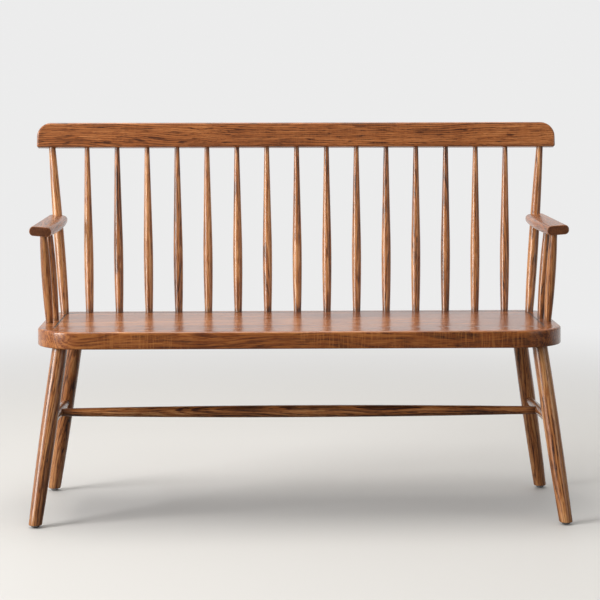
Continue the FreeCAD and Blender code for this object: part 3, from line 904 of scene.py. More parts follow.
@dataclass(frozen=True)
class OakFinish:
    """Stained oak under satin lacquer.

    Attributes:
        name: The material's name.
        dark: The colour of open pores and dark streaks.
        middle: The colour of most of the wood.
        light: The colour of the palest wood.
        ring_gap: The width of a year's growth, in metres.
        heart: How far the tree's heart lies across and through the piece, in metres.
        wander: How far the rings stray along the piece, in metres.
        level: Where most of the wood lies between dark and light, from 0 to 1.
        streak_gain: How strong the broad streaks are.
        ring_gain: How strong the growth rings are.
        pore_gain: How dark the pores are.
        fleck_gain: How strong the pale ray flecks are.
        gloss: The roughness of the wood under its lacquer.
        coat_gloss: The lacquer's roughness.
        chatter: The height of faint turning marks, in metres.
        gathered: The colour of stain gathered in a cut line together with painted shade in it.
    """

    name: str
    dark: Colour
    middle: Colour
    light: Colour
    ring_gap: float = 0.0052
    heart: tuple[float, float] = (0.012, -0.085)
    wander: float = 0.06
    level: float = 0.62
    streak_gain: float = 0.34
    ring_gain: float = 0.26
    pore_gain: float = 0.6
    fleck_gain: float = 0.25
    gloss: float = 0.5
    coat_gloss: float = 0.16
    chatter: float = 0.0
    # Stain gathered in a cut line, darkened further as painted groove shade.
    gathered: Colour = linear(34, 16, 7)

    # Mottles, all long with the grain except the ray plates, which lie square to the rings.
    DRIFT = Mottle((1.7, 8.0, 8.0))
    RIPPLE = Mottle((5.0, 60.0, 60.0), 1.0)
    BROAD = Mottle((3.4, 80.0, 80.0), 3.0, roughness=0.6)
    CLOUD = Mottle((1.8, 12.0, 12.0))
    FIBRE = Mottle((16.0, 520.0, 520.0), 3.0, roughness=0.65)
    PORE = Mottle((80.0, 1700.0, 1700.0), 1.0, 0.55, 0.66)
    LONG_PORE = Mottle((26.0, 330.0, 330.0), 2.0, 0.54, 0.66)
    RAY_PLATE = Mottle((230.0, 700.0, 17.0), 2.0, 0.47, 0.66, distortion=0.7)
    RAY_ZONE = Mottle((3.0, 9.0, 9.0), 1.0, 0.4, 0.56)
    PATCH = Mottle((30.0, 90.0, 90.0), 3.0, roughness=0.65)
    SMEAR = Mottle((9.0, 26.0, 26.0), 3.0)
    SWELL = Mottle((24.0, 60.0, 60.0), 1.0)

    # Shares of the mottles in the colour and in the roughness.
    RIPPLE_YEARS = 2.2
    SEASON = ((0.0, 1.0), (0.2, 0.85), (0.5, 0.16), (0.88, 0.0), (1.0, 1.0))
    LATE_PORES = 0.3
    CLOUD_GAIN = 0.2
    FIBRE_GAIN = 0.26
    LONG_PORE_SHARE = 0.5
    TONE_GAIN = 0.7
    RUBBED_RANGE = (0.36, 0.66)
    RUBBED_GAIN = 0.42
    # How the darkened share shows: end-grain stain on the arms, painted shade at joints and under
    # the seat.
    DIRTY_RANGE = (0.2, 0.55, 0.5, 1.0)
    DIRTY_GAIN = 0.7
    GLOSS_RANGE = (-0.05, 0.07)
    PORE_ROUGHNESS = 0.2
    RUBBED_ROUGHNESS = 0.08

    # Reliefs: metres and strength.
    SWELL_RELIEF = (0.0005, 0.35)
    COAT_RELIEF = (0.00006, 0.5)
    FIBRE_RELIEF = (0.00008, 0.6)
    PORE_RELIEF = (0.00018, 0.8)
    CHATTER_STRENGTH = 0.5
    CHATTER_TURN = 2600.0

    def rings(self, recipe: Recipe, grain: bpy.types.NodeSocket,
              bent: bpy.types.NodeSocket) -> bpy.types.NodeSocket:
        """Return how much of the porous early wood there is, from 0 to 1.

        Args:
            recipe: The material that is being put together.
            grain: The place in the tree.
            bent: The same place after the rings have wandered.

        Returns:
            The share of early wood.
        """
        from_heart = recipe.vector("SUBTRACT", bent, (0.0, *self.heart))
        from_heart = recipe.vector("MULTIPLY", from_heart, (0.0, 1.0, 1.0))
        years = recipe.math("DIVIDE", recipe.vector("LENGTH", from_heart, result="Value"),
                            self.ring_gap)
        years = recipe.plus(years, recipe.times(recipe.noise(grain, self.RIPPLE),
                                                self.RIPPLE_YEARS))
        return recipe.ramp(recipe.math("FRACT", years),
                           [(part, (share, share, share, 1)) for part, share in self.SEASON])

    def lines(self, recipe: Recipe) -> Socket:
        """Return how much gathered stain and painted groove shade darken cut lines, of which most
        pieces have none.
        """
        return 0.0

    def material(self) -> bpy.types.Material:
        """Build the node tree and return the material.

        Returns:
            The finished material.
        """
        recipe = Recipe(bpy.data.materials.new(self.name))
        grain = recipe.stamped("grain")
        worn, grimed, tone = recipe.split(recipe.stamped("state"))
        drift = recipe.vector("SUBTRACT", recipe.noise(grain, self.DRIFT, "Color"),
                              (0.5, 0.5, 0.5))
        drift = recipe.vector("MULTIPLY", drift, (0.0, self.wander, self.wander))
        bent = recipe.vector("ADD", grain, drift)
        early = self.rings(recipe, grain, bent)
        fibre = recipe.shown(bent, self.FIBRE)
        pore = recipe.times(recipe.shown(bent, self.PORE),
                            recipe.remap(early, 0.0, 1.0, self.LATE_PORES, 1.0))

        value = self.level
        for part, gain in ((recipe.shown(bent, self.BROAD), self.streak_gain),
                           (recipe.shown(grain, self.CLOUD), self.CLOUD_GAIN),
                           (fibre, self.FIBRE_GAIN)):
            value = recipe.plus(value, recipe.times(recipe.minus(part, 0.5), gain))
        value = recipe.minus(value, recipe.times(early, self.ring_gain))
        value = recipe.minus(value, recipe.times(recipe.shown(bent, self.LONG_PORE),
                                                 self.pore_gain * self.LONG_PORE_SHARE))
        value = recipe.plus(value, recipe.times(recipe.minus(tone, 0.5), self.TONE_GAIN), True)
        colour = recipe.ramp(value, ((0.0, self.dark), (0.5, self.middle), (1.0, self.light)))

        # Rubbed arrises are paler; the darkened share is end-grain stain on the arms and painted
        # shade at joints and under the seat.
        fleck = recipe.times(recipe.shown(grain, self.RAY_PLATE),
                             recipe.shown(grain, self.RAY_ZONE))
        patch = recipe.noise(grain, self.PATCH)
        rubbed = recipe.times(worn, recipe.remap(patch, *self.RUBBED_RANGE))
        dirt_and_shade = recipe.times(grimed, recipe.remap(patch, *self.DIRTY_RANGE))
        for share, gain, laid_over in ((fleck, self.fleck_gain, self.light),
                                       (pore, self.pore_gain, self.dark),
                                       (rubbed, self.RUBBED_GAIN, self.light),
                                       (dirt_and_shade, self.DIRTY_GAIN, self.dark)):
            colour = recipe.blend(recipe.times(share, gain), colour, laid_over)
        # Cut lines take gathered stain and painted groove shade.
        colour = recipe.blend(self.lines(recipe), colour, self.gathered)

        low, high = (self.gloss + change for change in self.GLOSS_RANGE)
        rough = recipe.shown(grain, self.SMEAR, low, high, "LINEAR")
        rough = recipe.plus(rough, recipe.times(pore, self.PORE_ROUGHNESS))
        rough = recipe.plus(rough, recipe.times(rubbed, self.RUBBED_ROUGHNESS), True)

        pit = recipe.times(pore, -1.0)
        normal = recipe.bump(recipe.noise(grain, self.SWELL), self.SWELL_RELIEF)
        coat_normal = recipe.bump(pit, self.COAT_RELIEF, normal)
        normal = recipe.bump(fibre, self.FIBRE_RELIEF, normal)
        normal = recipe.bump(pit, self.PORE_RELIEF, normal)
        if self.chatter:
            wave = recipe.math("SINE", recipe.times(recipe.split(grain)[0], self.CHATTER_TURN))
            normal = recipe.bump(wave, (self.chatter, self.CHATTER_STRENGTH), normal)
        return recipe.finish(recipe.shader("ShaderNodeBsdfPrincipled", {
            "Base Color": colour, "Roughness": rough, "IOR": 1.45, "Specular IOR Level": 0.25,
            "Coat Weight": 1.0, "Coat Roughness": self.coat_gloss, "Normal": normal,
            "Coat Normal": coat_normal}))


@dataclass(frozen=True)
class Gutter:
    """The line cut into the seat's top, in metres and in depths from the seat's front edge.

    Attributes:
        side: How far it runs from the bench's middle.
        back: Where it runs along the back.
        corner: The radius of its corners.
        front: Where it has its full depth at the front.
        fade: The length over which it runs out at the front.
        radius: The cutter's radius.
        cut: The line's depth.
        lift: How far the cutter is above the seat where the line starts.
        steps: How many parts each corner has.
    """

    side: float = 0.572
    back: float = 0.382
    corner: float = 0.038
    front: float = 0.118
    fade: float = 0.052
    radius: float = 0.0015
    cut: float = 0.002
    lift: float = 0.0004
    steps: int = 10


@dataclass(frozen=True)
class SeatFinish(OakFinish):
    """The seat's finish, with gathered stain and painted groove shade darkening the gutter line
    and beside it.

    Attributes:
        gutter: The line along which gathered stain and painted shade darken the top.
    """

    gutter: Gutter = Gutter()

    # The band of gathered stain and painted groove shade beside the gutter, widened with painted
    # shade at the back.
    STAINED = (0.0018, 0.0036, 1.0, 0.0)
    WIDER_AT_BACK = 0.0022
    BACK_FROM = -0.01
    START_RUN = 0.03
    TOP_RANGE = (SEAT_TOP - 0.004, SEAT_TOP - 0.003)

    def lines(self, recipe: Recipe) -> Socket:
        """Return how near a place is to the gutter line, from 0 to 1, as gathered stain and
        painted groove shade.

        Args:
            recipe: The material that is being put together.

        Returns:
            The share of gathered stain and painted groove shade.
        """
        corner = self.gutter.corner
        across, along, up = recipe.split(recipe.place())
        beside = recipe.minus(recipe.math("ABSOLUTE", across), self.gutter.side - corner)
        behind = recipe.minus(along, FRONT_EDGE + self.gutter.back - corner)
        squares = [recipe.math("POWER", recipe.math("MAXIMUM", part, 0.0), 2.0)
                   for part in (beside, behind)]
        round_part = recipe.math("SQRT", recipe.plus(*squares))
        straight = recipe.math("MINIMUM", recipe.math("MAXIMUM", beside, behind), 0.0)
        away = recipe.math("ABSOLUTE", recipe.minus(recipe.plus(round_part, straight), corner))
        # Along the back the band of painted groove shade grows wider.
        wider = recipe.times(recipe.remap(behind, self.BACK_FROM, corner), self.WIDER_AT_BACK)
        near = recipe.remap(recipe.minus(away, wider), *self.STAINED)
        start = FRONT_EDGE + self.gutter.front - self.gutter.fade
        started = recipe.remap(along, start, start + self.START_RUN)
        return recipe.times(recipe.times(near, started), recipe.remap(up, *self.TOP_RANGE))


@dataclass(frozen=True)
class GlideFinish:
    """Bright plated steel, scuffed where it slides on the floor.

    Attributes:
        name: The material's name.
        colour: The plating's colour.
        scuff: The colour of a scuff.
    """

    name: str = "scuffed_plated_steel"
    colour: Colour = linear(205, 206, 208)
    scuff: Colour = linear(120, 118, 116)

    SCRATCH = Mottle((500.0, 3800.0, 900.0), 3.0)
    SCRATCH_RANGE = (0.6, 0.72)
    DULL = Mottle((160.0, 160.0, 160.0), 3.0, 0.35, 0.6)
    SCUFF_HEIGHT = 0.0025
    SCUFF_GAIN = 0.6
    GLOSS_RANGE = (0.22, 0.48)
    RELIEF = (0.00004, 0.5)

    def material(self) -> bpy.types.Material:
        """Build the node tree and return the material.

        Returns:
            The finished material.
        """
        recipe = Recipe(bpy.data.materials.new(self.name))
        place = recipe.place()
        low = recipe.remap(recipe.split(place)[2], 0.0, self.SCUFF_HEIGHT, 1.0, 0.0)
        scratch = recipe.noise(place, self.SCRATCH)
        scuffed = recipe.math("MAXIMUM", recipe.remap(scratch, *self.SCRATCH_RANGE),
                              recipe.times(low, recipe.shown(place, self.DULL)))
        return recipe.finish(recipe.shader("ShaderNodeBsdfPrincipled", {
            "Base Color": recipe.blend(recipe.times(scuffed, self.SCUFF_GAIN), self.colour,
                                       self.scuff),
            "Metallic": 1.0,
            "Roughness": recipe.remap(scuffed, 0.0, 1.0, *self.GLOSS_RANGE, "LINEAR"),
            "Normal": recipe.bump(scratch, self.RELIEF)}))


def spread(index: int, salt: float = 0.0) -> float:
    """Return a fixed number between 0 and 1 that differs from piece to piece."""
    return math.modf(abs(math.sin(index * HASH[0] + salt * HASH[1])) * HASH[2])[0]


def sawn_at(index: int) -> Vector:
    """Return the place in the tree that a piece was sawn from."""
    length, width, depth = TRUNK
    return Vector((length * spread(index, 1), width * spread(index, 2) - width / 2,
                   depth * spread(index, 3)))


@dataclass
class Upright:
    """One turned piece between two joints.

    Attributes:
        node: The node that it stands for.
        foot: Where its axis leaves the lower joint.
        head: Where its axis enters the upper joint.
        turning: Its outline.
        number: A number of its own, which sets its figure.
        tone: How light it is, from -1 to 1.
    """

    node: str
    foot: Vector
    head: Vector
    turning: Turning
    number: int
    tone: float = 0.0

    RUB = 0.5
    RUB_RUN = 0.09
    # Painted contact shade fades out over this run from each joint.
    GRIME_RUN = 0.006
    LEAST_LEAN = 0.5
    MORE_LEAN = 1.4

    @property
    def axis(self) -> Vector:
        """The way from the foot to the head."""
        return (self.head - self.foot).normalized()

    @property
    def start(self) -> Vector:
        """The tip of the foot's tenon."""
        return self.foot - self.axis * self.turning.foot_tenon

    @property
    def length(self) -> float:
        """The whole length with both tenons."""
        return (self.head - self.foot).length + self.turning.foot_tenon + self.turning.head_tenon

    @property
    def home(self) -> Matrix:
        """The piece's own frame, with +Z along its axis."""
        return Matrix.Translation(self.start) @ turn_to(self.axis, 360 * spread(self.number, 4))

    @property
    def sawn(self) -> Matrix:
        """The piece's own frame, leaned as its billet was sawn a little off the grain."""
        lean = math.radians(self.LEAST_LEAN + self.MORE_LEAN * spread(self.number, 5))
        return self.home @ Matrix.Rotation(lean, 4, "X")

    def tenon_at_foot(self) -> Tenon:
        """Return the tenon at the foot."""
        return Tenon(self.start, self.axis, self.turning.foot, self.turning.foot_tenon)

    def tenon_at_head(self) -> Tenon:
        """Return the tenon at the head.

        Returns:
            The tenon in its socket.
        """
        turning = self.turning
        return Tenon(self.head + self.axis * turning.head_tenon, -self.axis,
                     turning.head_tenon_radius or turning.head, turning.head_tenon)

    def figure(self) -> Figure:
        """Return the piece's figure, rubbed at its belly and darkened at its joints with painted
        contact shade.

        Returns:
            The figure.
        """
        turning = self.turning
        foot_line, head_line = turning.foot_tenon, self.length - turning.head_tenon
        belly = foot_line + turning.belly_height

        def worn(place: Vector) -> float:
            """Return how rubbed the piece is at a place."""
            return self.RUB * math.exp(-((place.z - belly) / self.RUB_RUN) ** 2)

        def grimed(place: Vector) -> float:
            """Return how much painted contact shade darkens the piece at a place."""
            near = min(abs(place.z - foot_line), abs(place.z - head_line))
            return math.exp(-near / self.GRIME_RUN)

        return Figure(self.sawn, 2, sawn_at(self.number), self.tone, worn, grimed)

    def make(self, pattern: Blank, material: bpy.types.Material) -> None:
        """Copy a turned pattern to this place and dress it.

        Args:
            pattern: The piece to copy, standing on the origin.
            material: The finish.
        """
        blank = pattern.copy(self.node + "_turned")
        blank.place(self.home)
        finish_piece(blank, self.figure(), material, self.node)

    def make_alone(self, material: bpy.types.Material) -> None:
        """Turn this piece from a pattern of its own and dress it.

        Args:
            material: The finish.
        """
        pattern = self.turning.blank("single_pattern", self.length)
        self.make(pattern, material)
        pattern.discard()


@dataclass
class Back:
    """The spindles, the end posts and the crest rail, in metres."""

    spindle_count: int = 15
    seat_height: float = SEAT_TOP
    spindle_row: float = 0.398
    pitch_seat: float = 0.0739
    pitch_rail: float = 0.0756
    post_seat_x: float = 0.577
    post_seat_y: float = 0.379
    post_rail_x: float = 0.617
    rail_depth: float = 0.491
    rail_underside: float = 0.851
    rail_length: float = 1.310
    rail_height: float = 0.063
    rail_thickness: float = 0.024
    rail_corner: float = 0.036
    rail_round: float = 0.005
    rail_margin: float = 0.006
    rail_rub: float = 0.006
    corner_flats: int = 16
    round_flats: int = 5
    post_number: int = 20
    post_tone: float = 0.1
    rail_tone: float = -0.05
    rail_sawn: tuple[float, float, float] = (0.4, 0.02, 0.012)
    spindle: Turning = Turning(0.0093, 0.0117, 0.0061, 0.140, 0.027, 0.024, shoulder=0.050)
    post: Turning = Turning(0.0101, 0.0127, 0.0082, 0.148, 0.027, 0.024)
    tones: tuple[float, ...] = (0.1, -0.35, 0.15, -0.1, 0.2, -0.3, 0.0, 0.2, -0.2, 0.1, -0.15,
                                0.05, -0.3, 0.2, -0.1)

    def uprights(self) -> list[Upright]:
        """Return the spindles from left to right.

        Returns:
            The spindles.
        """
        pieces = []
        for index in range(self.spindle_count):
            offset = index - (self.spindle_count - 1) / 2
            pieces.append(Upright(
                f"back_spindle_{index + 1:02d}",
                at(offset * self.pitch_seat, self.spindle_row, self.seat_height),
                at(offset * self.pitch_rail, self.rail_depth, self.rail_underside),
                self.spindle, index + 1, self.tones[index]))
        return pieces

    def posts(self) -> list[Upright]:
        """Return the two end posts.

        Returns:
            The left post and the right one.
        """
        return [Upright(f"end_post_{side.word}",
                        at(side.value * self.post_seat_x, self.post_seat_y, self.seat_height),
                        at(side.value * self.post_rail_x, self.rail_depth, self.rail_underside),
                        self.post, self.post_number + side.value, self.post_tone)
                for side in Side]

    def rail_home(self) -> Matrix:
        """Return the rail's own frame, on the middle of its underside and leaned back.

        Returns:
            The frame as a matrix.
        """
        foot = at(0, self.spindle_row, self.seat_height)
        head = at(0, self.rail_depth, self.rail_underside)
        lean = math.atan2(head.y - foot.y, head.z - foot.z)
        return Matrix.Translation(head) @ Matrix.Rotation(-lean, 4, "X")

    def rail_wear(self, place: Vector) -> float:
        """Return how rubbed the rail is at a place in its own frame.

        Args:
            place: The place.

        Returns:
            The rubbed share, from 0 to 1.
        """
        inside = min(self.rail_length / 2 - abs(place.x), place.z, self.rail_height - place.z)
        side = self.rail_thickness / 2 - abs(place.y)
        reach = sorted((inside, side, self.rail_height - place.z))[1]
        return max(0.0, 1 - reach / self.rail_rub)

    def build_rail(self, tenons: Iterable[Tenon], material: bpy.types.Material) -> None:
        """Saw, round and bore the crest rail.

        Args:
            tenons: What stands in its sockets.
            material: The finish.
        """
        rail = Blank.plate("crest_rail_board", self.rail_length, self.rail_height)
        rail.move((0, self.rail_height / 2, 0))
        rail.round_off(Kind.VERT, lambda corners: corners[0].y > TOUCH, self.rail_corner,
                       self.corner_flats)
        rail.thicken(self.rail_thickness)
        half = self.rail_thickness / 2 - TOUCH
        low = self.rail_length / 2 - TOUCH

        def is_arris(corners: Sequence[Vector]) -> bool:
            """Accept the outline on both faces and the two lower corners.

            Args:
                corners: Where the edge's two ends are.

            Returns:
                Whether it is rounded.
            """
            on_face = all(abs(corner.z) > half for corner in corners) and (
                corners[0].z * corners[1].z > 0)
            at_foot = all(corner.y < TOUCH and abs(corner.x) > low for corner in corners)
            return on_face or at_foot

        rail.round_off(Kind.EDGE, is_arris, self.rail_round, self.round_flats)
        rail.inset_large(self.rail_margin)
        rail.place(Matrix.Rotation(QUARTER, 4, "X"))
        home = self.rail_home()
        rail.place(home)
        rail.bore_all(tenons)
        figure = Figure(home, 0, Vector(self.rail_sawn), self.rail_tone, self.rail_wear)
        finish_piece(rail, figure, material, "crest_rail")


@dataclass
class Arms:
    """The arms and what stands under them, in metres and in the arm's own frame."""

    back: Back
    height: float = 0.6726
    thickness: float = 0.0226
    bullnose: float = 0.0102
    nose: float = 0.002
    rear_radius: float = 0.025
    rear_shift: float = 0.001
    reach: float = 0.341
    front_outer: float = 0.031
    front_inner: float = 0.020
    inner_bow: float = 2.300
    roll: float = 4.6
    rise: float = 0.8
    post_seat: tuple[float, float] = (0.5935, 0.182)
    post_arm: tuple[float, float] = (0.004, 0.275)
    spindle_seat: tuple[float, float] = (0.585, 0.240)
    spindle_arm: tuple[float, float] = (0.0005, 0.191)
    post: Turning = Turning(0.0083, 0.0115, 0.0083, 0.112, 0.027, 0.013)
    spindle: Turning = Turning(0.0077, 0.0108, 0.0077, 0.112, 0.027, 0.013)
    wear_steps: tuple[float, ...] = (0.005, 0.010, 0.018, 0.030, 0.060, 0.110, 0.170, 0.240)
    rear_steps: int = 24
    inner_steps: int = 12
    bullnose_flats: int = 8
    nose_flats: int = 3
    post_tone: float = 0.0
    spindle_tone: float = -0.2
    tone: float = -0.1
    sawn: tuple[float, float, float] = (1.1, 0.01, 0.02)
    sawn_apart: float = 0.5
    front_rub: float = 0.55
    front_rub_run: float = 0.05
    side_rub: float = 0.35
    side_rub_from: float = 0.012
    side_rub_run: float = 0.014
    edge_rub_loss: float = 0.4
    through_radius: float = 0.01258
    through_below: float = 0.02
    through_run: float = 0.032

    def middle(self, side: Side) -> tuple[Vector, Vector]:
        """Return where an end post's axis crosses its arm, and the axis."""
        post = self.back.posts()[0 if side is Side.LEFT else 1]
        return at_height(post.foot, post.head, self.height), post.axis

    def home(self, side: Side) -> Matrix:
        """Return an arm's own frame, on the end post's axis at the arm's middle.

        Args:
            side: Which arm.

        Returns:
            The frame as a matrix.
        """
        return (Matrix.Translation(self.middle(side)[0])
                @ Matrix.Rotation(math.radians(self.rise), 4, "X")
                @ Matrix.Rotation(math.radians(-self.roll * side.value), 4, "Y"))

    def through(self, side: Side) -> Tenon:
        """Return the end post's length that passes through an arm, as a tenon.

        Args:
            side: Which arm.

        Returns:
            The tenon.
        """
        middle, axis = self.middle(side)
        return Tenon(middle - axis * self.through_below, axis, self.through_radius,
                     self.through_run)

    def uprights(self, side: Side) -> list[Upright]:
        """Return the front arm post and the arm spindle of one side.

        Args:
            side: Which arm they stand under.

        Returns:
            The post and the spindle.
        """
        pieces = []
        for name, (seat_x, seat_y), (out, ahead), turning, number, tone in (
                ("arm_post_front", self.post_seat, self.post_arm, self.post, 30,
                 self.post_tone),
                ("arm_spindle", self.spindle_seat, self.spindle_arm, self.spindle, 40,
                 self.spindle_tone)):
            head = self.home(side) @ Vector((out * side.value, -ahead, -self.thickness / 2))
            pieces.append(Upright(f"{name}_{side.word}",
                                  at(side.value * seat_x, seat_y, self.back.seat_height), head,
                                  turning, number + side.value, tone))
        return pieces

    def plan(self) -> list[Vector]:
        """Return the right arm's outline, from its outer front corner round the rear.

        Returns:
            The outline's corners, in order.
        """
        rear = Vector((self.rear_shift, 0))
        outer = Vector((self.front_outer, -self.reach))
        inner = Vector((-self.front_inner, -self.reach))
        to_rear = rear - outer
        turn = (math.atan2(to_rear.y, to_rear.x)
                - math.asin(self.rear_radius / to_rear.length))
        chord = rear - inner
        gap = self.inner_bow - self.rear_radius
        along = (chord.length ** 2 + self.inner_bow ** 2 - gap ** 2) / (2 * chord.length)
        way = chord.normalized()
        centre = (inner + way * along
                  + Vector((way.y, -way.x)) * math.sqrt(self.inner_bow ** 2 - along ** 2))
        inner_turn, front_turn = (math.atan2(place.y - centre.y, place.x - centre.x)
                                  % (2 * math.pi) for place in (rear, inner))
        outline = [outer, *arc(rear, self.rear_radius, turn - QUARTER, inner_turn,
                               self.rear_steps),
                   *arc(centre, self.inner_bow, inner_turn, front_turn, self.inner_steps)[1:]]
        return [Vector((place.x, place.y, 0)) for place in outline]

    def grime(self, place: Vector) -> float:
        """Return how dark an arm is: the end grain at its front drank the most stain."""
        return 1.0 if place.y < TOUCH - self.reach else 0.0

    def wear(self, place: Vector) -> float:
        """Return how rubbed an arm is: its front, its sides and its rear end.

        Args:
            place: The place.

        Returns:
            The rubbed share, from 0 to 1.
        """
        middle = abs(place.z) / (self.thickness / 2)
        front = math.exp(-(place.y + self.reach) / self.front_rub_run)
        side = max(0.0, abs(place.x) - self.side_rub_from) / self.side_rub_run
        return min(1.0, self.front_rub * front
                   + self.side_rub * side * (1 - self.edge_rub_loss * middle))

    def build_arm(self, side: Side, tenons: Iterable[Tenon],
                  material: bpy.types.Material) -> None:
        """Saw, round and bore one arm.

        Args:
            side: Which arm.
            tenons: What stands in its sockets or passes through it.
            material: The finish.
        """
        arm = Blank.outline(f"arm_{side.word}_board", self.plan())
        arm.thicken(self.thickness)
        front = -self.reach + TOUCH
        arm.round_off(Kind.EDGE, lambda corners: abs(corners[0].z - corners[1].z) < TOUCH
                      and max(corner.y for corner in corners) > front, self.bullnose,
                      self.bullnose_flats)
        arm.round_off(Kind.EDGE, lambda corners: max(corner.y for corner in corners) < front,
                      self.nose, self.nose_flats)
        arm.score(Vector((0, 1, 0)), (step - self.reach for step in self.wear_steps))
        arm.tidy()
        home = self.home(side)
        if side is Side.LEFT:
            arm.pick_all()
            arm.resize((-1, 1, 1))
            bpy.ops.mesh.normals_make_consistent(inside=False)
        arm.place(home)
        arm.bore_all(tenons)
        along, across, through = self.sawn
        figure = Figure(home, 1, Vector((along + self.sawn_apart * side.value, across, through)),
                        self.tone, self.wear, self.grime)
        finish_piece(arm, figure, material, f"arm_{side.word}")


@dataclass
class Seat:
    """The plank seat, in metres and in depths from its front edge."""

    width: float = 1.224
    depth: float = 0.414
    height: float = SEAT_TOP
    thickness: float = 0.040
    front_corner: float = 0.108
    back_corner: float = 0.052
    top_round: float = 0.005
    under_round: float = 0.003
    joints: tuple[float, ...] = (0.128, 0.255, 0.336)
    front_flats: int = 28
    back_flats: int = 16
    top_flats: int = 5
    under_flats: int = 3
    margin: float = 0.010
    saw_overrun: float = 0.01
    rub_reach: float = 0.012
    rub_depth: float = 0.008
    gutter: Gutter = Gutter()
    boards: tuple[str, ...] = ("front", "middle_front", "middle_back", "back")
    tones: tuple[float, ...] = (0.1, 0.16, -0.1, 0.12)
    # Painted light falloff: the seat's tone is lighter at the left end and darker at the right.
    fading: float = 0.6
    sawn: tuple[float, float, float] = (0.0, 0.0, -0.43)
    sawn_step: tuple[float, float, float] = (0.7, 0.03, -0.004)

    def cut_gutter(self, slab: Blank) -> None:
        """Run the round cutter along both sides and the back.

        Args:
            slab: The seat's slab, at its place.
        """
        gutter = self.gutter
        rise = gutter.cut + gutter.lift
        start = at(gutter.side, gutter.front - gutter.fade,
                   self.height + gutter.radius - gutter.cut + rise)
        cutter = Blank.ring("gutter_cutter", gutter.radius, 20)
        bpy.ops.transform.rotate(value=QUARTER, orient_axis="X", center_override=(0, 0, 0))
        cutter.move(start)
        bend, bend_y = gutter.side - gutter.corner, gutter.back - gutter.corner
        straight = bend_y - gutter.front
        cutter.extrude((0, gutter.fade, -rise))
        cutter.extrude((0, straight, 0))
        for side in (1, -1):
            bpy.ops.mesh.spin(steps=gutter.steps, angle=QUARTER, axis=(0, 0, -1),
                              center=at(side * bend, bend_y, self.height))
            if side > 0:
                cutter.extrude((-2 * bend, 0, 0))
        cutter.extrude((0, -straight, 0))
        cutter.extrude((0, -gutter.fade, rise))
        cutter.close()
        fade = start.y + TOUCH
        cutter.pick(Kind.VERT, lambda corners: corners[0].y < fade and corners[0].x > 0)
        cutter.close()
        cutter.tidy()
        slab.take_out(cutter)

    def wear(self, place: Vector) -> float:
        """Return how rubbed the seat is: its front edge most, its sides less.

        Args:
            place: The place.

        Returns:
            The rubbed share, from 0 to 1.
        """
        behind = place.y - FRONT_EDGE
        edge = min(behind, (self.depth - behind) * 2, self.width / 2 - abs(place.x))
        top = self.height - place.z
        return (max(0.0, 1 - max(edge, 0.0) / self.rub_reach)
                * math.exp(-top / self.rub_depth))

    def build(self, tenons: Iterable[Tenon], material: bpy.types.Material) -> None:
        """Glue up the slab, shape it, bore it and part it at the glue joints.

        Args:
            tenons: What stands in its sockets.
            material: The finish.
        """
        slab = Blank.plate("seat_slab", self.width, self.depth)
        slab.round_off(Kind.VERT, lambda corners: corners[0].y < 0, self.front_corner,
                       self.front_flats)
        slab.round_off(Kind.VERT, lambda corners: corners[0].y > self.depth / 2 - TOUCH,
                       self.back_corner, self.back_flats)
        slab.pick(Kind.FACE, lambda corners: True)
        slab.extrude((0, 0, self.thickness))
        slab.tidy()
        for level, width, flats in ((self.thickness, self.top_round, self.top_flats),
                                    (0.0, self.under_round, self.under_flats)):
            slab.round_off(Kind.EDGE, lambda corners: all(abs(corner.z - level) < TOUCH
                                                          for corner in corners), width, flats)
        slab.inset_large(self.margin)
        middle = at(0, self.depth / 2, self.height - self.thickness)
        slab.place(Matrix.Translation(middle))
        self.cut_gutter(slab)
        slab.bore_all(tenons)
        edges = (-self.saw_overrun, *self.joints, self.depth + self.saw_overrun)
        for index, name in enumerate(self.boards):
            board = slab.copy(f"seat_board_{name}_sawn")
            board.keep_between(FRONT_EDGE + edges[index], FRONT_EDGE + edges[index + 1])
            board.tidy()
            sawn = Vector([start + step * index
                           for start, step in zip(self.sawn, self.sawn_step)])
            figure = Figure(Matrix.Identity(4), 0, sawn, self.tones[index], self.wear,
                            fading=self.fading)
            finish_piece(board, figure, material, f"seat_board_{name}")
        slab.discard()


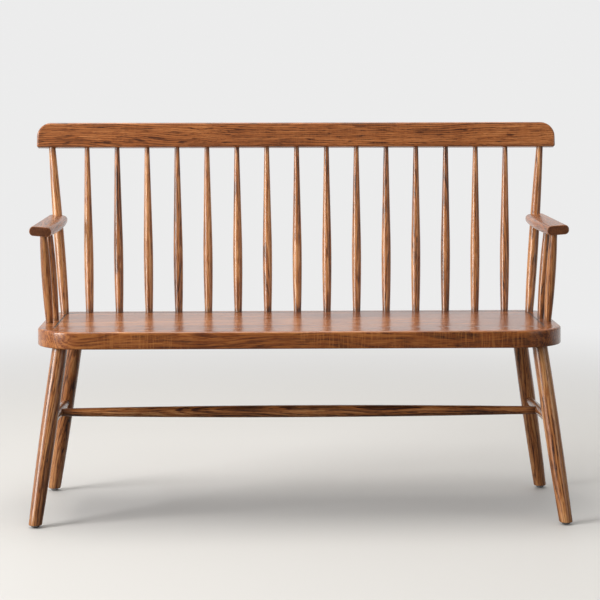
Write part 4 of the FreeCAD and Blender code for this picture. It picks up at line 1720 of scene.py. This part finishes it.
@dataclass
class Underframe:
    """The legs, the stretchers and the glides, in metres."""

    seat: Seat
    front_seat: tuple[float, float] = (0.556, 0.057)
    front_foot: tuple[float, float] = (0.6085, -0.022)
    back_seat: tuple[float, float] = (0.5415, 0.308)
    back_foot: tuple[float, float] = (0.6085, 0.387)
    leg: Turning = Turning(0.015, 0.0185, 0.0175, 0.262, 0.009, 0.027, 0.0125,
                           sawn_foot=True, sides=48, steps=18)
    foot_round: float = 0.0026
    foot_flats: int = 3
    knock_gain: float = 1.2
    knock_run: float = 0.018
    # Painted shade under the seat fades out over this run down the leg.
    grime_run: float = 0.01
    stretcher_height: float = 0.2305
    leg_web: float = 0.003
    stretcher_web: float = 0.0025
    side_ends: float = 0.00825
    side_belly: float = 0.0115
    centre_ends: float = 0.0092
    centre_belly: float = 0.0145
    leg_tones: tuple[tuple[Row, Side, float], ...] = (
        (Row.FRONT, Side.LEFT, 0.05), (Row.FRONT, Side.RIGHT, 0.25),
        (Row.BACK, Side.LEFT, -0.1), (Row.BACK, Side.RIGHT, -0.3))
    stretcher_tone: float = -0.3
    centre_tone: float = -0.25
    glide_height: float = 0.006
    glide_radius: float = 0.010
    glide_contact: float = 0.004
    nail_radius: float = 0.0013
    nail_length: float = 0.015
    nail_point: float = 0.004
    glide_steps: int = 10

    def leg_line(self, row: Row, side: Side) -> tuple[Vector, Vector]:
        """Return a leg's axis on the floor and at the seat's underside.

        Args:
            row: Which pair of legs.
            side: Which leg of it.

        Returns:
            The place on the floor and the place at the seat.
        """
        seat, foot = ((self.front_seat, self.front_foot) if row is Row.FRONT
                      else (self.back_seat, self.back_foot))
        return (at(side.value * foot[0], foot[1], 0),
                at(side.value * seat[0], seat[1], self.seat.height - self.seat.thickness))

    def saw_point(self, row: Row, side: Side) -> Vector:
        """Return where a leg's axis meets its level foot."""
        return at_height(*self.leg_line(row, side), self.glide_height)

    def legs(self) -> list[Upright]:
        """Return the four legs, with the turned waste below the foot as their tenon.

        Returns:
            The legs.
        """
        return [Upright(f"leg_{row.value}_{side.word}", self.saw_point(row, side),
                        self.leg_line(row, side)[1], self.leg, 50 + number, tone)
                for number, (row, side, tone) in enumerate(self.leg_tones)]

    def build_legs(self, material: bpy.types.Material) -> None:
        """Turn the legs and saw them level at the foot.

        Args:
            material: The finish.
        """
        for leg in self.legs():
            blank = leg.turning.blank(leg.node + "_turned", leg.length)
            blank.place(leg.home)
            blank.saw((0, 0, self.glide_height), UP, use_fill=True, clear_inner=True)
            rim = self.glide_height + TOUCH
            blank.round_off(Kind.EDGE, lambda corners: all(corner.z < rim
                                                           for corner in corners),
                            self.foot_round, self.foot_flats)
            blank.tidy()
            finish_piece(blank, self.leg_figure(leg), material, leg.node)

    def leg_figure(self, leg: Upright) -> Figure:
        """Return a leg's figure, knocked at the foot and darkened with painted shade under the
        seat.

        Args:
            leg: The leg.

        Returns:
            The figure.
        """
        top = leg.length - leg.turning.head_tenon

        def worn(place: Vector) -> float:
            """Return how knocked the leg is at a place."""
            up = place.z - leg.turning.foot_tenon
            return min(1.0, self.knock_gain * math.exp(-up / self.knock_run))

        def grimed(place: Vector) -> float:
            """Return how much painted shade darkens the leg under the seat at a place."""
            return math.exp(-abs(place.z - top) / self.grime_run)

        return Figure(leg.sawn, 2, sawn_at(leg.number), leg.tone, worn, grimed)

    def stretcher(self, name: str, ends: Sequence[Vector], socket: tuple[float, float],
                  radii: tuple[float, float], number: int, steps: int = 14) -> Upright:
        """Return a stretcher between two pieces.

        Args:
            name: The node that it stands for.
            ends: Where its axis meets theirs.
            socket: Their radius there, and what is left between the socket's end and their axis.
            radii: The stretcher's radius at its ends and in its middle.
            number: A number of its own, which sets its figure.
            steps: How many rings each half has.

        Returns:
            The stretcher.
        """
        way = ends[1] - ends[0]
        inset = way.normalized() * socket[0]
        tenon = socket[0] - socket[1]
        turning = Turning(radii[0], radii[1], radii[0], (way.length - 2 * socket[0]) / 2, tenon,
                          tenon, steps=steps)
        return Upright(name, ends[0] + inset, ends[1] - inset, turning, number,
                       self.stretcher_tone)

    def stretchers(self) -> list[Upright]:
        """Return the side stretchers and the centre stretcher.

        Returns:
            The left, the right and the centre stretcher.
        """
        pieces, middles = [], []
        for side in Side:
            ends = [at_height(*self.leg_line(row, side), self.stretcher_height) for row in Row]
            pieces.append(self.stretcher(
                f"side_stretcher_{side.word}", ends, (self.leg.belly, self.leg_web),
                (self.side_ends, self.side_belly), 60 + side.value))
            middles.append((ends[0] + ends[1]) / 2)
        centre = self.stretcher("centre_stretcher", middles,
                                (self.side_belly, self.stretcher_web),
                                (self.centre_ends, self.centre_belly), 70, steps=24)
        centre.tone = self.centre_tone
        return [*pieces, centre]

    def build_glides(self, material: bpy.types.Material) -> None:
        """Press the four domed glides and their nails.

        Args:
            material: The finish.
        """
        dome = self.glide_radius - self.glide_contact
        rows = [(0.0, self.glide_contact)]
        for step in range(1, self.glide_steps + 1):
            angle = math.pi / 2 * step / self.glide_steps
            rows.append((self.glide_height - self.glide_height * math.cos(angle),
                         self.glide_contact + dome * math.sin(angle)))
        tip = self.glide_height + self.nail_length
        rows += [(self.glide_height, self.nail_radius), (tip - self.nail_point, self.nail_radius),
                 (tip, self.nail_radius / 8)]
        pattern = turned("glide_pattern", rows, 32)
        for row in Row:
            for side in Side:
                node = f"foot_glide_{row.value}_{side.word}"
                spot = self.saw_point(row, side)
                glide = pattern.copy(node + "_pressed")
                glide.place(Matrix.Translation((spot.x, spot.y, 0)))
                figure = Figure(Matrix.Translation(spot), 2, Vector(), 0.0)
                finish_piece(glide, figure, material, node)
        pattern.discard()


@dataclass(frozen=True)
class Lamp:
    """One soft box.

    Attributes:
        name: Its name.
        place: Where it hangs, in metres.
        aim: The point that it lights.
        size: Its width and height.
        power: Its power in watts.
        colour: Its colour.
    """

    name: str
    place: tuple[float, float, float]
    aim: tuple[float, float, float]
    size: tuple[float, float]
    power: float
    colour: tuple[float, float, float] = (1.0, 1.0, 1.0)

    def hang(self) -> None:
        """Add the lamp to the scene."""
        Blank.clear_bench()
        bpy.ops.object.light_add(type="AREA", location=self.place)
        lamp = bpy.context.object
        lamp.name = self.name
        way = Vector(self.aim) - Vector(self.place)
        lamp.rotation_euler = way.to_track_quat("-Z", "Y").to_euler()
        lamp.data.shape = "RECTANGLE"
        lamp.data.size, lamp.data.size_y = self.size
        lamp.data.energy = self.power
        lamp.data.color = self.colour


@dataclass
class Studio:
    """The floor, the light and the camera."""

    floor_colour: Colour = linear(204, 203, 201)
    floor_bounce: Colour = linear(104, 101, 96)
    floor_half: float = 30.0
    fade_from: float = 1.1
    fade_to: float = 3.6
    sky_seen: float = 0.84
    sky_bright: float = 0.7
    sky_dark: float = 0.08
    sky_way: tuple[float, float, float] = (-0.25, 0.85, 0.35)
    sky_range: tuple[float, float] = (-0.45, 0.65)
    mirror_range: tuple[float, float] = (-0.3, 0.9)
    camera_place: tuple[float, float, float] = (-0.0925, -4.5728, 1.0017)
    camera_pitch: float = 3.33
    camera_yaw: float = 1.20
    camera_roll: float = 0.08
    focal_pixels: float = 1905.8
    image_pixels: float = 600.0
    centre_line: float = 198.7
    sensor: float = 36.0
    lamps: tuple[Lamp, ...] = (
        Lamp("window_left", (-5.2, -2.7, 2.3), (0.0, 0.0, 0.5), (2.4, 4.0), 400.0,
             (1.0, 0.99, 0.97)),
        Lamp("fill_right", (4.4, -3.8, 2.2), (0.0, 0.0, 0.5), (3.4, 3.4), 45.0,
             (1.0, 0.97, 0.94)),
        Lamp("overhead", (-0.5, 0.1, 4.2), (0.0, 0.0, 0.4), (3.2, 2.6), 120.0,
             (1.0, 0.96, 0.9)),
    )

    def lay_floor(self) -> None:
        """Lay a plain pale floor that runs into the sky behind the bench."""
        floor = Blank.plate("floor", 2 * self.floor_half, 2 * self.floor_half)
        floor.rest()
        recipe = Recipe(bpy.data.materials.new("pale_floor"))
        rays = recipe.add("ShaderNodeLightPath").outputs
        place = recipe.place()
        mirrored = recipe.times(rays["Is Glossy Ray"],
                                recipe.remap(recipe.split(place)[1], *self.mirror_range))
        seen = recipe.math("MAXIMUM", rays["Is Camera Ray"], mirrored)
        seen = recipe.math("MAXIMUM", seen, rays["Is Transmission Ray"])
        paint = recipe.shader("ShaderNodeBsdfPrincipled", {
            "Base Color": recipe.blend(seen, self.floor_bounce, self.floor_colour),
            "Roughness": 0.6, "Specular IOR Level": 0.2})
        far = recipe.remap(recipe.vector("LENGTH", place, result="Value"), self.fade_from,
                           self.fade_to)
        haze = recipe.shader("ShaderNodeEmission", {"Strength": self.sky_seen})
        floor.item.data.materials.append(recipe.finish(recipe.shader(
            "ShaderNodeMixShader", {0: recipe.times(far, seen), 1: paint, 2: haze})))

    def light(self) -> None:
        """Hang the lamps and set the sky, pale behind the bench and dim in front of it."""
        for lamp in self.lamps:
            lamp.hang()
        recipe = Recipe(bpy.data.worlds.new("studio_sky"))
        lean = recipe.vector("DOT_PRODUCT",
                             recipe.add("ShaderNodeTexCoord").outputs["Generated"],
                             self.sky_way, "Value")
        strength = recipe.add("ShaderNodeMix")
        recipe.feed(strength, {
            "Factor": recipe.add("ShaderNodeLightPath").outputs["Is Camera Ray"],
            "A": recipe.remap(lean, *self.sky_range, self.sky_dark, self.sky_bright),
            "B": self.sky_seen})
        bpy.context.scene.world = recipe.finish(recipe.shader(
            "ShaderNodeBackground", {"Color": (1, 1, 1, 1),
                                     "Strength": strength.outputs["Result"]}),
            "ShaderNodeOutputWorld")

    def stand_camera(self) -> None:
        """Stand the camera where the photograph was taken from."""
        pitch, yaw, roll = (math.radians(angle) for angle in
                            (self.camera_pitch, self.camera_yaw, self.camera_roll))
        ahead = Vector((math.sin(yaw) * math.cos(pitch), math.cos(yaw) * math.cos(pitch),
                        -math.sin(pitch)))
        right = Vector((math.cos(yaw), -math.sin(yaw), 0))
        above = right.cross(ahead)
        level = Matrix.Identity(3)
        level.col[0] = right * math.cos(roll) - above * math.sin(roll)
        level.col[1] = right * math.sin(roll) + above * math.cos(roll)
        level.col[2] = -ahead
        Blank.clear_bench()
        bpy.ops.object.camera_add(location=self.camera_place)
        camera = bpy.context.object
        camera.rotation_euler = level.to_euler()
        camera.data.sensor_width = self.sensor
        camera.data.lens = self.focal_pixels / self.image_pixels * self.sensor
        camera.data.shift_y = (self.centre_line - self.image_pixels / 2) / self.image_pixels
        bpy.context.scene.camera = camera

    def set_up(self) -> None:
        """Set up the floor, the light, the view transform and the camera."""
        self.lay_floor()
        self.light()
        self.stand_camera()
        bpy.context.scene.view_settings.view_transform = "Standard"


CREST_OAK = OakFinish("stained_oak_crest", linear(64, 30, 11), linear(156, 90, 44),
                      linear(198, 130, 76), streak_gain=0.4, ring_gain=0.34, pore_gain=0.9,
                      fleck_gain=0.1, level=0.68)
SEAT_OAK = SeatFinish("stained_oak_seat", linear(62, 26, 7), linear(138, 72, 26),
                      linear(194, 124, 62), fleck_gain=0.42, coat_gloss=0.19)
ARM_OAK = OakFinish("stained_oak_arm", linear(64, 28, 10), linear(148, 84, 38),
                    linear(196, 128, 74), fleck_gain=0.1, coat_gloss=0.26)
TURNED_OAK = OakFinish("stained_oak_turned", linear(62, 28, 10), linear(166, 101, 51),
                       linear(206, 150, 97), streak_gain=0.54, ring_gain=0.38, pore_gain=0.8,
                       fleck_gain=0.1, level=0.68, coat_gloss=0.23, chatter=0.00001)


def main() -> None:
    """Build the bench's pieces in order, then the studio."""
    logging.basicConfig(level=logging.INFO, format="%(name)s %(message)s")
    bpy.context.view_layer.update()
    turned_oak = TURNED_OAK.material()
    back, seat = Back(), Seat()
    arms, underframe = Arms(back), Underframe(seat)

    in_seat: list[Tenon] = []
    in_rail: list[Tenon] = []
    for group in (back.uprights(), back.posts()):
        pattern = group[0].turning.blank("back_pattern", group[0].length)
        for piece in group:
            piece.make(pattern, turned_oak)
            in_seat.append(piece.tenon_at_foot())
            in_rail.append(piece.tenon_at_head())
        pattern.discard()
    back.build_rail(in_rail, CREST_OAK.material())

    arm_oak = ARM_OAK.material()
    for side in Side:
        in_arm = []
        for piece in arms.uprights(side):
            piece.make_alone(turned_oak)
            in_seat.append(piece.tenon_at_foot())
            in_arm.append(piece.tenon_at_head())
        arms.build_arm(side, [*in_arm, arms.through(side)], arm_oak)

    underframe.build_legs(turned_oak)
    in_seat += [leg.tenon_at_head() for leg in underframe.legs()]
    for stretcher in underframe.stretchers():
        stretcher.make_alone(turned_oak)
    underframe.build_glides(GlideFinish().material())
    seat.build(in_seat, SEAT_OAK.material())

    Studio().set_up()


if __name__ == "__main__":
    main()
